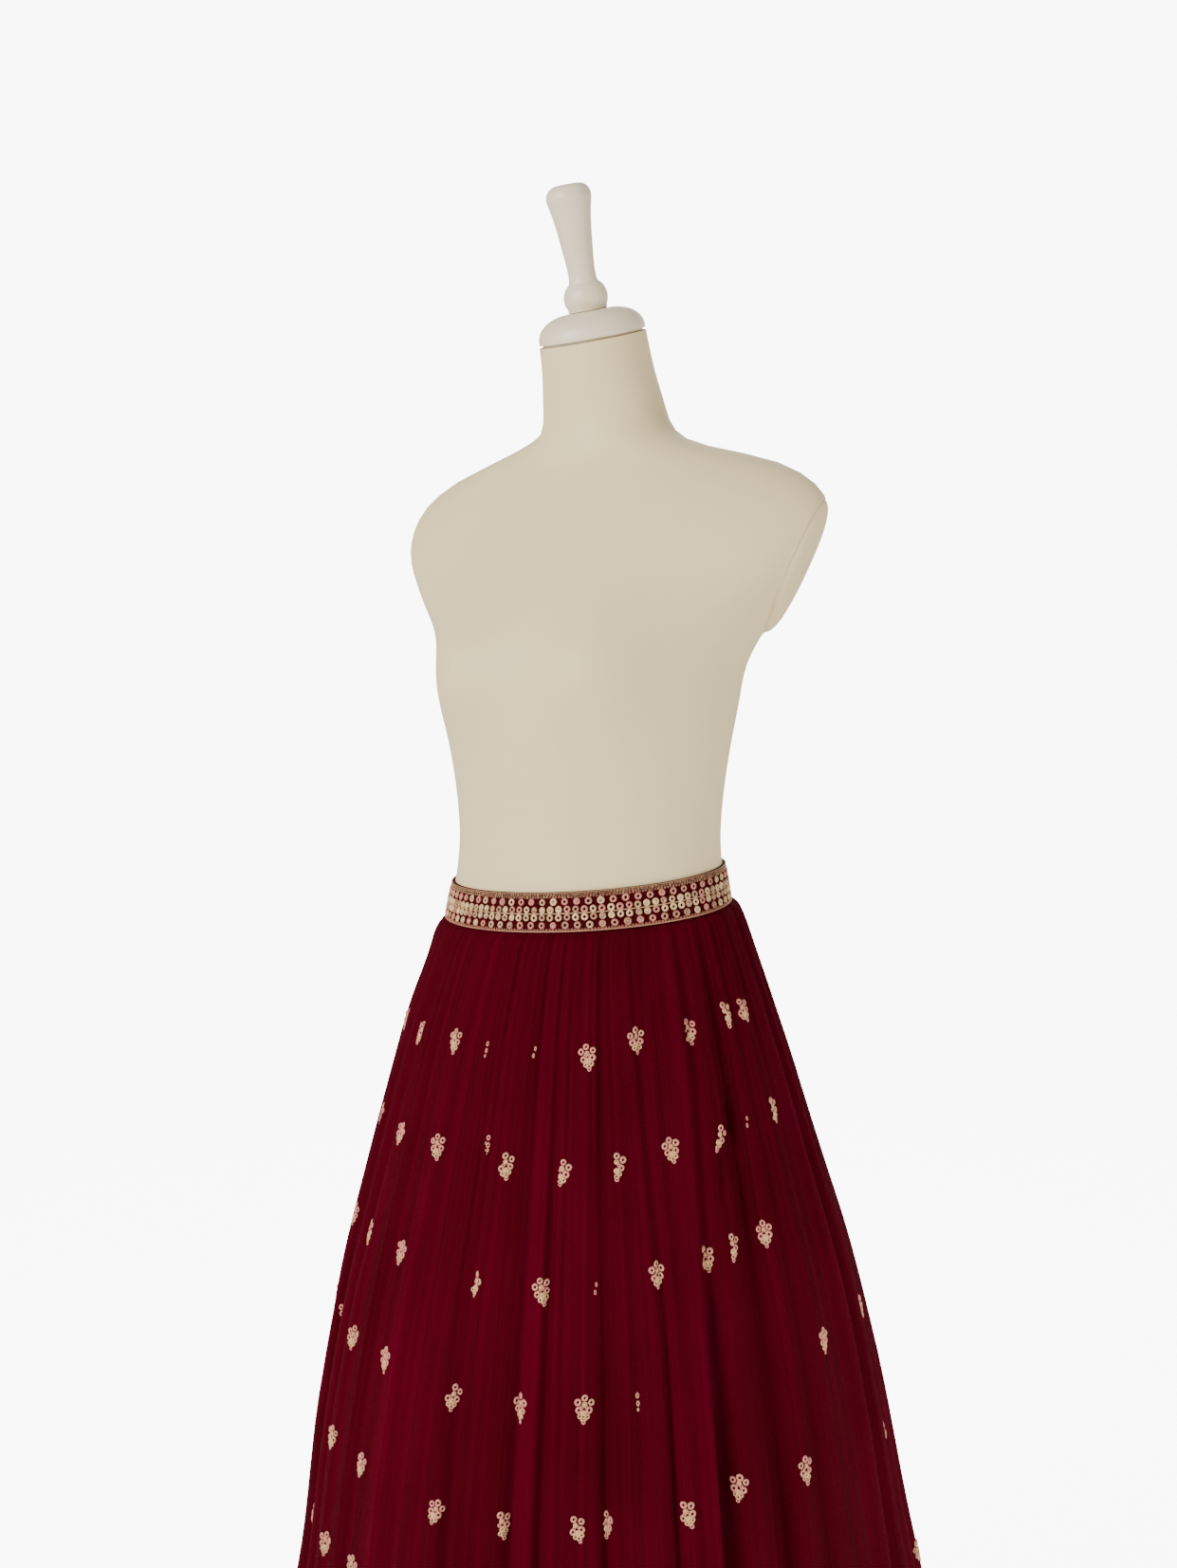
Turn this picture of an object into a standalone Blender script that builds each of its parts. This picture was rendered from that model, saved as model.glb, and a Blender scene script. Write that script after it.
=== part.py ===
"""A gathered lehenga skirt with its waistband, on a limbless dress form and stand.

Metres, +Z up. The form's front faces -Y and the wearer's left is +X. The origin
is the centre of the round base's underside, where the stand rests on a floor.
Angles round the body are in degrees from the front centre, growing towards the
wearer's left. The skirt is two panels, front and back, sewn at the sides and
gathered into a waistband that sits on the form's waist.
"""
import math
from collections import namedtuple

import bmesh
import bpy
import numpy as np
from mathutils import Matrix, Vector

GAP = 0.0003                    # clearance between neighbouring pieces
CLOTH = 0.0012                  # thickness of the skirt's wall

BAND_TOP = 1.060                # height of the waistband's top edge over the centre
BAND_HEIGHT = 0.0315
BAND_CLEAR = 0.0004             # from the form to the band's inner face
BAND_THICK = 0.0022             # plain ground between the raised rows
BAND_CORD_RISE = 0.0009         # the corded edging stands out by this much
BAND_MIDDLE_RISE = 0.0012       # and the beaded middle row by this much
BAND_CLOSURE = -90.0            # where the two ends of the band meet
BAND_COLUMNS = 60

TILT_SIDE = 0.055               # the waist line climbs towards the wearer's left
TILT_BACK = 0.100               # and towards the back

NECK_LEAN = math.radians(19.0)  # the neck, its cap and handle lean forwards
NECK_CUT = Vector((0.0, 0.0070, 1.512))
ARM_CUT = Vector((0.195, 0.030, 1.351))
ARM_CUT_BOTTOM = 1.234          # the cut ends above this level, under the arm
ARM_CUT_DOWN = math.radians(25.0)
ARM_CUT_BACK = math.radians(20.0)
ARM_PLATE_RIM = 0.014           # the plate that closes the cut domes up over this width
ARM_PLATE_RISE = 0.0045

CAP_RADIUS = 0.0458
CAP_CROWN = 0.0228
HANDLE_HEIGHT = 0.1005

BASE_RADIUS = 0.150
BASE_THICK = 0.014
COLLAR_RADIUS = 0.030
COLLAR_FOOT = 0.008             # the collar's foot spreads out by this much
COLLAR_TOP = 0.060
POLE_RADIUS = 0.016
FLANGE_RADIUS = 0.045
FLANGE_THICK = 0.006
TORSO_COLUMNS = 40
TORSO_STEP = 0.036              # levels of the form are about this far apart
BAND_STEP = 0.012               # and this far under the waistband

# The form in level sections: height, half width, and how far forward the front,
# the widest line at the side and the back lie.
Section = namedtuple("Section", "z half_width front side back")
TORSO = [
    Section(0.780, 0.1500, -0.100, 0.006, 0.112),
    Section(0.840, 0.1590, -0.106, 0.006, 0.122),
    Section(0.900, 0.1570, -0.108, 0.005, 0.118),
    Section(0.960, 0.1460, -0.105, 0.003, 0.107),
    Section(1.010, 0.1335, -0.101, 0.001, 0.099),
    Section(1.050, 0.1235, -0.097, 0.000, 0.093),
    Section(1.085, 0.1195, -0.094, 0.000, 0.089),
    Section(1.120, 0.1215, -0.095, 0.000, 0.088),
    Section(1.160, 0.1270, -0.098, 0.001, 0.090),
    Section(1.200, 0.1340, -0.100, 0.004, 0.094),
    Section(1.235, 0.1400, -0.099, 0.008, 0.099),
    Section(1.265, 0.1560, -0.092, 0.014, 0.103),
    Section(1.300, 0.1840, -0.077, 0.020, 0.105),
    Section(1.335, 0.2050, -0.059, 0.025, 0.104),
    Section(1.360, 0.2060, -0.046, 0.028, 0.102),
    Section(1.380, 0.1920, -0.035, 0.030, 0.099),
    Section(1.393, 0.1715, -0.028, 0.032, 0.096),
    Section(1.402, 0.1500, -0.024, 0.033, 0.094),
    Section(1.410, 0.1220, -0.022, 0.034, 0.091),
    Section(1.418, 0.0940, -0.021, 0.034, 0.088),
    Section(1.426, 0.0740, -0.021, 0.033, 0.085),
    Section(1.434, 0.0630, -0.021, 0.032, 0.082),
    Section(1.444, 0.0570, -0.022, 0.029, 0.078),
    Section(1.462, 0.0530, -0.027, 0.024, 0.072),
    Section(1.490, 0.0480, -0.034, 0.015, 0.062),
    Section(1.540, 0.0455, -0.049, -0.003, 0.043),
]
BUST_RISE = 0.030               # how far the bust stands out of the front
BUST_APART = 0.078              # from the centre to the middle of each side
BUST_LEVEL = 1.226
BUST_WIDTH = 0.047
BUST_HEIGHT = 0.052

SHOULDER_RISE = 0.006           # how much higher the wearer's right shoulder sits
SHOULDER_START = 0.050          # from the centre to where the rise begins
SHOULDER_SPREAD = 0.022         # and the way it takes to grow
SHOULDER_FOOT = 1.335           # the rise grows from this height
SHOULDER_FULL = 1.395
NECK_CLEAR = 1.455              # and is gone at this one
NECK_FADE = 0.018

# The skirt's outline under the band: drop, reach to the wearer's left and right, to
# the front and to the back, depth of the small gathers and depth of the folds.
Ring = namedtuple("Ring", "drop left right front back gather fold")
SKIRT = [
    Ring(0.000, 0.1325, 0.1360, 0.1045, 0.1020, 0.0009, 0.0006),
    Ring(0.006, 0.1362, 0.1405, 0.1095, 0.1055, 0.0016, 0.0012),
    Ring(0.014, 0.1396, 0.1445, 0.1150, 0.1107, 0.0020, 0.0018),
    Ring(0.032, 0.1461, 0.1500, 0.1225, 0.1183, 0.0018, 0.0026),
    Ring(0.075, 0.1610, 0.1660, 0.1385, 0.1359, 0.0011, 0.0040),
    Ring(0.135, 0.1810, 0.1825, 0.1565, 0.1579, 0.0003, 0.0056),
    Ring(0.210, 0.2040, 0.2015, 0.1780, 0.1850, 0.0000, 0.0074),
    Ring(0.300, 0.2310, 0.2220, 0.2035, 0.2180, 0.0000, 0.0092),
    Ring(0.410, 0.2555, 0.2390, 0.2270, 0.2510, 0.0000, 0.0112),
    Ring(0.540, 0.2795, 0.2535, 0.2475, 0.2825, 0.0000, 0.0130),
    Ring(0.750, 0.3260, 0.2930, 0.2900, 0.3340, 0.0000, 0.0156),
    Ring(1.005, 0.3800, 0.3470, 0.3460, 0.3900, 0.0000, 0.0180),
]
MIDDLE_DROP = 0.35              # share of the drop where a fold's middle angle holds

# The valleys between the folds of the front panel, from the wearer's right to the
# left: their angle at the band, at the middle and at the hem, and their depth at
# the middle and at the hem as a share of the fold depth.
Valley = namedtuple("Valley", "top middle hem upper lower")
FRONT_VALLEYS = [
    Valley(-83.0, -83.0, -83.0, 0.5, 0.6),
    Valley(-75.5, -75.0, -74.5, 0.9, 1.1),
    Valley(-68.0, -67.0, -66.0, 0.3, 0.4),
    Valley(-60.5, -59.5, -58.0, 1.1, 1.4),
    Valley(-52.5, -52.0, -51.5, 0.3, 0.3),
    Valley(-45.0, -44.0, -43.0, 0.8, 1.1),
    Valley(-37.0, -36.0, -35.0, 1.0, 1.2),
    Valley(-29.5, -29.0, -28.5, 0.3, 0.3),
    Valley(-22.5, -22.0, -21.5, 0.6, 0.9),
    Valley(-15.5, -15.0, -14.5, 0.2, 0.3),
    Valley(-8.5, -8.5, -8.5, 0.5, 0.8),
    Valley(-1.5, -1.5, -1.5, 0.2, 0.2),
    Valley(4.0, 4.5, 5.0, 0.5, 0.6),
    Valley(9.5, 10.5, 11.0, 0.2, 0.2),
    Valley(15.0, 16.2, 16.5, 0.6, 0.4),
    Valley(20.6, 21.8, 21.5, 0.5, 0.7),
    Valley(26.6, 28.1, 28.0, 0.2, 0.1),
    Valley(32.2, 34.4, 34.6, 0.7, 1.3),
    Valley(37.8, 39.3, 39.5, 0.3, 0.2),
    Valley(43.2, 45.0, 46.0, 1.3, 1.2),
    Valley(50.5, 50.0, 50.0, 0.5, 0.3),
    Valley(60.5, 54.8, 53.5, 1.7, 1.6),
    Valley(69.0, 66.0, 62.0, 1.8, 2.0),
    Valley(77.5, 76.5, 74.0, 0.3, 0.4),
    Valley(84.0, 83.5, 83.0, 0.2, 0.3),
]
SEAM_SHARE = 0.6                # depth of the shallow valley along each side seam
BACK_FOLDS = 22
BACK_DRIFT = 1.5                # how unevenly the back's valleys are spread, degrees
CELL = (0.0, 0.2, 0.5, 0.8)     # columns across a fold, from valley to valley
CELL_DEPTH = (1.0, 0.42, 0.0, 0.42)

Finish = namedtuple("Finish", "colour roughness metallic")
GEORGETTE = Finish((0.082, 0.0015, 0.0056), 0.72, 0.0)
BAND_WORK = Finish((0.30, 0.155, 0.075), 0.48, 0.25)
FORM_CREAM = Finish((0.62, 0.55, 0.44), 0.50, 0.0)
CAP_CREAM = Finish((0.66, 0.60, 0.51), 0.35, 0.0)
STAND_CREAM = Finish((0.60, 0.55, 0.47), 0.38, 0.0)


def clear_scene():
    """Remove whatever the scene holds."""
    for item in list(bpy.data.objects):
        bpy.data.objects.remove(item, do_unlink=True)


def read_table(rows, column, at):
    """Read a column of a table at a place of its first column, on a smooth curve."""
    places = [row[0] for row in rows]
    values = [getattr(row, column) for row in rows]
    at = min(max(at, places[0]), places[-1])
    last = len(rows) - 1
    i = min(max(sum(place <= at for place in places) - 1, 0), last - 1)

    def slope(k):
        low, high = max(k - 1, 0), min(k + 1, last)
        return (values[high] - values[low]) / (places[high] - places[low])

    span = places[i + 1] - places[i]
    s = (at - places[i]) / span
    return ((1 + 2 * s) * (1 - s) ** 2 * values[i] + s * (1 - s) ** 2 * span * slope(i)
            + s * s * (3 - 2 * s) * values[i + 1] - s * s * (1 - s) * span * slope(i + 1))


def tilt(x, y):
    """Return how much higher the skirt's waist line lies at a place than over the centre."""
    return TILT_SIDE * x + TILT_BACK * y


def form_point(angle, z, out=0.0):
    """Return the form's surface point at an angle and height, moved out level by a distance."""
    turn = math.radians(angle)
    side = read_table(TORSO, "side", z)
    width = read_table(TORSO, "half_width", z) + out
    end = "front" if math.cos(turn) > 0 else "back"
    reach = abs(read_table(TORSO, end, z) - side) + out
    x = width * math.sin(turn)
    y = side - reach * math.cos(turn)
    if math.cos(turn) > 0:
        across = (abs(x) - BUST_APART) / BUST_WIDTH
        up = (z - BUST_LEVEL) / BUST_HEIGHT
        y -= BUST_RISE * math.exp(-across * across - up * up) * math.cos(turn)
    return Vector((x, y, z))


def ease(value):
    """Return a share between 0 and 1 with soft ends."""
    s = min(max(value, 0.0), 1.0)
    return s * s * (3 - 2 * s)


def body_point(angle, z):
    """Return a corner of the body: the form's surface with the higher right shoulder."""
    place = form_point(angle, z)
    beside = ease((-place.x - SHOULDER_START) / SHOULDER_SPREAD)
    above = ease((z - SHOULDER_FOOT) / (SHOULDER_FULL - SHOULDER_FOOT))
    below_neck = ease((NECK_CLEAR - z) / NECK_FADE)
    place.z += SHOULDER_RISE * beside * above * below_neck
    return place


def waist_point(angle, below, out):
    """Return a point on the band: below its top edge, and moved out from the form."""
    z = BAND_TOP - below
    for _ in range(3):
        place = form_point(angle, z, out)
        z = BAND_TOP - below + tilt(place.x, place.y)
    return form_point(angle, z, out)


def valleys_all_round():
    """List the valleys of the whole skirt from the right side seam round to it again."""
    seam = [Valley(a, a, a, SEAM_SHARE, SEAM_SHARE) for a in (-90.0, 90.0, 270.0)]
    pitch = 180.0 / BACK_FOLDS
    back = []
    for i in range(1, BACK_FOLDS):
        at = 90.0 + pitch * i
        drift = BACK_DRIFT * math.sin(2.1 * i)
        share = 0.75 + 0.50 * math.sin(1.7 * i + 0.6)
        back.append(Valley(at + drift, at + 0.6 * drift, at - 0.5 * drift,
                           share, share + 0.15 + 0.4 * math.sin(2.9 * i)))
    return [seam[0]] + FRONT_VALLEYS + [seam[1]] + back + [seam[2]]


def between(first, middle, last, share):
    """Blend a value from the band over the middle of the drop to the hem."""
    if share < MIDDLE_DROP:
        s = share / MIDDLE_DROP
        return first + (middle - first) * s * s * (3 - 2 * s)
    s = (share - MIDDLE_DROP) / (1 - MIDDLE_DROP)
    return middle + (last - middle) * s


def skirt_point(angle, drop, inward):
    """Return the skirt's outer point at an angle and drop, moved in from its outline."""
    turn = math.radians(angle)
    side = "left" if math.sin(turn) > 0 else "right"
    end = "front" if math.cos(turn) > 0 else "back"
    x = (read_table(SKIRT, side, drop) - inward) * math.sin(turn)
    y = -(read_table(SKIRT, end, drop) - inward) * math.cos(turn)
    length = SKIRT[-1].drop
    fade = 1 - drop / length
    z = BAND_TOP - BAND_HEIGHT - GAP - drop + fade * tilt(x, y)
    return Vector((x, y, z))


def cloth_row(valleys, first, last, drop):
    """Return one level row of the cloth's outer points, from one seam to the next."""
    share = drop / SKIRT[-1].drop
    gather = read_table(SKIRT, "gather", drop)
    depth = read_table(SKIRT, "fold", drop)
    at = [between(v.top, v.middle, v.hem, share) for v in valleys]
    deep = [between(v.upper, v.upper, v.lower, share) for v in valleys]
    row = []
    for i in range(first, last):
        for part, (step, sunk) in enumerate(zip(CELL, CELL_DEPTH)):
            angle = at[i] + (at[i + 1] - at[i]) * step
            weight = deep[i] + (deep[i + 1] - deep[i]) * step
            ridge = 0.12 * (1 + math.sin(2.3 * i)) * (1 - sunk)
            inward = depth * (weight * sunk + ridge)
            if part % 2 == 0:
                inward += gather
            row.append(skirt_point(angle, drop, inward))
    row.append(skirt_point(at[last], drop, depth * deep[last] + gather))
    return row


def thicken(outer, thickness):
    """Return the points of a grid moved in along its own normals."""
    grid = np.array([[tuple(point) for point in row] for row in outer])
    down = np.gradient(grid, axis=0)
    along = np.gradient(grid, axis=1)
    normal = np.cross(down, along)
    normal /= np.linalg.norm(normal, axis=2, keepdims=True)
    return [[Vector(p) for p in row] for row in grid - normal * thickness]


def add_material(name, finish):
    """Make a plain material of a finish."""
    material = bpy.data.materials.new(name)
    material.use_nodes = True
    shader = material.node_tree.nodes["Principled BSDF"]
    shader.inputs["Base Color"].default_value = (*finish.colour, 1.0)
    shader.inputs["Roughness"].default_value = finish.roughness
    shader.inputs["Metallic"].default_value = finish.metallic
    return material


def add_object(name, bm, finish, sharp=35.0):
    """Turn a bmesh into a named object with its own material."""
    bmesh.ops.recalc_face_normals(bm, faces=bm.faces)
    bmesh.ops.triangulate(bm, faces=bm.faces)
    mesh = bpy.data.meshes.new(name)
    bm.to_mesh(mesh)
    bm.free()
    mesh.shade_smooth()
    mesh.set_sharp_from_angle(angle=math.radians(sharp))
    mesh.materials.append(add_material(name, finish))
    item = bpy.data.objects.new(name, mesh)
    bpy.context.scene.collection.objects.link(item)
    return item


def strip_between(bm, first, second):
    """Fill the space between two rows of corners with four-sided faces."""
    for i in range(len(first) - 1):
        bm.faces.new((first[i], first[i + 1], second[i + 1], second[i]))


def add_wall(name, outer, inner, finish):
    """Build a closed wall from its outer and inner rows of points, edges included."""
    bm = bmesh.new()
    out = [[bm.verts.new(point) for point in row] for row in outer]
    back = [[bm.verts.new(point) for point in row] for row in inner]
    for grid in (out, back):
        for upper, lower in zip(grid, grid[1:]):
            strip_between(bm, upper, lower)
    strip_between(bm, out[0], back[0])
    strip_between(bm, out[-1], back[-1])
    for end in (0, -1):
        edge = [row[end] for row in out] + [row[end] for row in reversed(back)]
        bm.faces.new(edge)
    return add_object(name, bm, finish)


def add_turned(name, profile, finish, steps, place=Matrix()):
    """Turn a profile of (radius, height) points round the vertical axis into a solid."""
    bm = bmesh.new()
    corners = [bm.verts.new((radius, 0.0, height)) for radius, height in profile]
    for low, high in zip(corners, corners[1:]):
        bm.edges.new((low, high))
    bmesh.ops.spin(bm, geom=bm.verts[:] + bm.edges[:], cent=(0, 0, 0), axis=(0, 0, 1),
                   angle=math.tau, steps=steps, use_merge=True)
    bmesh.ops.remove_doubles(bm, verts=bm.verts, dist=1e-6)
    bm.transform(place)
    return add_object(name, bm, finish)


def arc(centre, radius, start, end, steps):
    """List points of an arc in a turned profile, its angles in degrees."""
    turns = [math.radians(start + (end - start) * i / steps) for i in range(steps + 1)]
    return [(centre[0] + radius * math.cos(t), centre[1] + radius * math.sin(t)) for t in turns]


def cut_flat(bm, point, normal, bottom):
    """Cut a mesh along a plane above a level, close the cut and return the new face."""
    faces = [face for face in bm.faces if min(v.co.z for v in face.verts) > bottom]
    geometry = {item for face in faces for item in (*face.verts, *face.edges)}
    cut = bmesh.ops.bisect_plane(bm, geom=list(geometry) + faces, dist=1e-6, plane_co=point,
                                 plane_no=normal, clear_outer=True)
    edges = [item for item in cut["geom_cut"] if isinstance(item, bmesh.types.BMEdge)]
    return bmesh.ops.contextual_create(bm, geom=edges)["faces"][0]


def add_torso():
    """Build the form's body: hips, waist, bust, cut shoulders and neck."""
    levels = [TORSO[0].z]
    for low, high in zip(TORSO, TORSO[1:]):
        banded = high.z > BAND_TOP - 1.5 * BAND_HEIGHT and low.z < BAND_TOP + 0.5 * BAND_HEIGHT
        parts = max(1, round((high.z - low.z) / (BAND_STEP if banded else TORSO_STEP)))
        levels += [low.z + (high.z - low.z) * (k + 1) / parts for k in range(parts)]
    angles = [360.0 * i / TORSO_COLUMNS for i in range(TORSO_COLUMNS)]
    bm = bmesh.new()
    rings = [[bm.verts.new(body_point(angle, z)) for angle in angles] for z in levels]
    for low, high in zip(rings, rings[1:]):
        strip_between(bm, low + low[:1], high + high[:1])
    bm.faces.new(rings[0])
    bm.faces.new(rings[-1])
    bmesh.ops.recalc_face_normals(bm, faces=bm.faces)
    for side in (1, -1):
        level = math.cos(ARM_CUT_DOWN)
        normal = Vector((side * level * math.cos(ARM_CUT_BACK),
                         level * math.sin(ARM_CUT_BACK), -math.sin(ARM_CUT_DOWN)))
        centre = Vector((side * ARM_CUT.x, ARM_CUT.y, ARM_CUT.z))
        plate = cut_flat(bm, centre, normal, ARM_CUT_BOTTOM)
        bmesh.ops.recalc_face_normals(bm, faces=bm.faces)
        bmesh.ops.inset_region(bm, faces=[plate], thickness=ARM_PLATE_RIM, depth=ARM_PLATE_RISE,
                               use_even_offset=True)
    neck_normal = Vector((0.0, -math.sin(NECK_LEAN), math.cos(NECK_LEAN)))
    cut_flat(bm, NECK_CUT, neck_normal, TORSO[-3].z - 0.001)
    return add_object("form_torso", bm, FORM_CREAM)


def neck_frame(height):
    """Return the place of a piece on the neck: its axis leans with the neck."""
    lean = Matrix.Rotation(NECK_LEAN, 4, "X")
    return Matrix.Translation(NECK_CUT) @ lean @ Matrix.Translation((0.0, 0.0, height))


def add_neck_pieces():
    """Build the domed cap that closes the neck, and the turned handle on it."""
    dome = [(0.0, 0.0), (CAP_RADIUS - 0.001, 0.0), (CAP_RADIUS, 0.001)]
    dome += arc((CAP_RADIUS - 0.009, 0.010), 0.009, 0.0, 62.0, 3)
    dome += [(0.0275, CAP_CROWN - 0.0012), (0.0170, CAP_CROWN), (0.0, CAP_CROWN)]
    add_turned("neck_cap", dome, CAP_CREAM, 28, neck_frame(GAP))
    handle = [(0.0, 0.0), (0.0165, 0.0)]
    handle += arc((0.0040, 0.0105), 0.0148, -34.0, 50.0, 4)
    handle += [(0.0120, 0.0260), (0.0116, 0.0330), (0.0131, 0.0500), (0.0157, 0.0730)]
    handle += arc((0.0090, 0.0900), 0.0100, -8.0, 76.0, 4)
    handle += [(0.0, HANDLE_HEIGHT)]
    add_turned("neck_handle", handle, CAP_CREAM, 24, neck_frame(CAP_CROWN + 2 * GAP))


def add_stand():
    """Build the round base, the collar on it, and the pole with the flange under the form."""
    base = [(0.0, 0.0), (BASE_RADIUS - 0.003, 0.0), (BASE_RADIUS, 0.003)]
    base += arc((BASE_RADIUS - 0.006, BASE_THICK - 0.006), 0.006, 0.0, 90.0, 2)
    base += [(0.0, BASE_THICK)]
    add_turned("stand_base", base, STAND_CREAM, 36)
    foot = BASE_THICK + GAP
    bore = POLE_RADIUS + GAP
    wide = COLLAR_RADIUS + COLLAR_FOOT
    collar = [(bore, foot), (wide, foot), (wide, foot + 0.003), (COLLAR_RADIUS, foot + 0.012),
              (COLLAR_RADIUS, COLLAR_TOP - 0.003), (COLLAR_RADIUS - 0.003, COLLAR_TOP),
              (bore, COLLAR_TOP), (bore, foot)]
    add_turned("stand_collar", collar, STAND_CREAM, 24)
    top = TORSO[0].z - GAP
    under = top - FLANGE_THICK
    pole = [(0.0, foot), (POLE_RADIUS, foot), (POLE_RADIUS, under - 0.012)]
    pole += [(POLE_RADIUS + 0.008, under), (FLANGE_RADIUS, under), (FLANGE_RADIUS, top)]
    pole += [(0.0, top)]
    add_turned("stand_pole", pole, STAND_CREAM, 24)


def add_waistband():
    """Build the straight band that closes round the waist, with its three raised rows."""
    rows = [
        (0.0000, BAND_CORD_RISE), (0.0030, BAND_CORD_RISE), (0.0040, 0.0), (0.0118, 0.0),
        (0.0134, BAND_MIDDLE_RISE), (0.0190, BAND_MIDDLE_RISE), (0.0206, 0.0),
        (0.0284, 0.0), (0.0294, BAND_CORD_RISE), (BAND_HEIGHT, BAND_CORD_RISE),
    ]
    edge = 0.5 * math.degrees(GAP / -form_point(0.0, BAND_TOP).y)
    span = 360.0 - 2 * edge
    angles = [BAND_CLOSURE + edge + span * i / BAND_COLUMNS for i in range(BAND_COLUMNS + 1)]
    outer = [[waist_point(angle, below, BAND_CLEAR + BAND_THICK + rise) for angle in angles]
             for below, rise in rows]
    inner = [[waist_point(angle, below, BAND_CLEAR) for angle in angles]
             for below in (0.0, BAND_HEIGHT / 2, BAND_HEIGHT)]
    add_wall("waistband", outer, inner, BAND_WORK)


def add_skirt():
    """Build the front and back panels, gathered at the top and open at the hem."""
    valleys = valleys_all_round()
    right_seam, left_seam, end_seam = 0, len(FRONT_VALLEYS) + 1, len(valleys) - 1
    for name, first, last in (("skirt_front", right_seam, left_seam),
                              ("skirt_back", left_seam, end_seam)):
        outer = [cloth_row(valleys, first, last, ring.drop) for ring in SKIRT]
        inner = thicken(outer, CLOTH)
        seam_line = -0.5 * GAP if name == "skirt_front" else 0.5 * GAP
        for row in outer + inner:
            row[0].y = row[-1].y = seam_line
        add_wall(name, outer, inner, GEORGETTE)


clear_scene()
add_torso()
add_neck_pieces()
add_stand()
add_waistband()
add_skirt()
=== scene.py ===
"""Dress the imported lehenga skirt, its waistband and the limbless form it stands on.

Metres, +Z up. The form faces -Y and the wearer's left is +X. Angles round the body
are in degrees from the front centre and grow towards the wearer's left. The cloth,
the band and the form follow the same section tables as the solids, with a finer mesh,
the sewn metal thread work and the finish of every surface added. The deepest folds at
the wearer's left are a little shallower here than in the solids.
"""
from __future__ import annotations

import logging
import math
from dataclasses import dataclass, fields
from enum import Enum
from typing import Callable, Sequence

import bmesh
import bpy
import numpy as np
from mathutils import Matrix, Vector

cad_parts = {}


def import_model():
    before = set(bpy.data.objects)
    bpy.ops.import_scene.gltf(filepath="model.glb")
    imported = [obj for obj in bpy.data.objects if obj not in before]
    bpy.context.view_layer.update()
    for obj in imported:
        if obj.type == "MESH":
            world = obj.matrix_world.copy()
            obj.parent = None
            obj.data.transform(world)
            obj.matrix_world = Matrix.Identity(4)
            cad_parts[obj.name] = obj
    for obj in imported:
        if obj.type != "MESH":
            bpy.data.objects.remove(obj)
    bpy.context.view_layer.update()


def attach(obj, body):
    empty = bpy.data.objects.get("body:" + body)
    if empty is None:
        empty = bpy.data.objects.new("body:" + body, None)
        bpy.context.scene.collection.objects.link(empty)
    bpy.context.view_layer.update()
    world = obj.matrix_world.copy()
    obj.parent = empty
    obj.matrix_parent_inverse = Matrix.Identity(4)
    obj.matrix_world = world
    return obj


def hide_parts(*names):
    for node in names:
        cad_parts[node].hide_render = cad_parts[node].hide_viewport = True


LOG = logging.getLogger("lehenga")
BODY = "root"
MILLIMETRE = 0.001

Array = np.ndarray
Item = bpy.types.Object
Material = bpy.types.Material
Socket = bpy.types.NodeSocket
Colour = tuple[float, float, float]
Profile = list[tuple[float, float]]
Shape = tuple[Array, list[tuple[int, ...]]]


class Panel(Enum):
    """The two panels of the skirt."""

    FRONT = "skirt_front"
    BACK = "skirt_back"


class Slot(Enum):
    """The record's material slots."""

    CLOTH = "georgette"
    BAND = "band_embroidery"
    FORM = "form_skin"
    TRIM = "form_trim"
    STAND = "stand_paint"


@dataclass(frozen=True)
class Section:
    """One level section of the form: its half width and where its front, side and back lie."""

    z: float
    half_width: float
    front: float
    side: float
    back: float


FORM_SECTIONS = [Section(*row) for row in (
    (0.780, 0.1500, -0.100, 0.006, 0.112), (0.840, 0.1590, -0.106, 0.006, 0.122),
    (0.900, 0.1570, -0.108, 0.005, 0.118), (0.960, 0.1460, -0.105, 0.003, 0.107),
    (1.010, 0.1335, -0.101, 0.001, 0.099), (1.050, 0.1235, -0.097, 0.000, 0.093),
    (1.085, 0.1195, -0.094, 0.000, 0.089), (1.120, 0.1215, -0.095, 0.000, 0.088),
    (1.160, 0.1270, -0.098, 0.001, 0.090), (1.200, 0.1340, -0.100, 0.004, 0.094),
    (1.235, 0.1400, -0.099, 0.008, 0.099), (1.265, 0.1560, -0.092, 0.014, 0.103),
    (1.300, 0.1840, -0.077, 0.020, 0.105), (1.335, 0.2050, -0.059, 0.025, 0.104),
    (1.360, 0.2060, -0.046, 0.028, 0.102), (1.380, 0.1920, -0.035, 0.030, 0.099),
    (1.393, 0.1715, -0.028, 0.032, 0.096), (1.402, 0.1500, -0.024, 0.033, 0.094),
    (1.410, 0.1220, -0.022, 0.034, 0.091), (1.418, 0.0940, -0.021, 0.034, 0.088),
    (1.426, 0.0740, -0.021, 0.033, 0.085), (1.434, 0.0630, -0.021, 0.032, 0.082),
    (1.444, 0.0570, -0.022, 0.029, 0.078), (1.462, 0.0530, -0.027, 0.024, 0.072),
    (1.490, 0.0480, -0.034, 0.015, 0.062), (1.540, 0.0455, -0.049, -0.003, 0.043),
)]


@dataclass(frozen=True)
class Ring:
    """The skirt's outline at one drop: its reach each way, and how deep gathers and folds go."""

    drop: float
    left: float
    right: float
    front: float
    back: float
    gather: float
    fold: float


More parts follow.
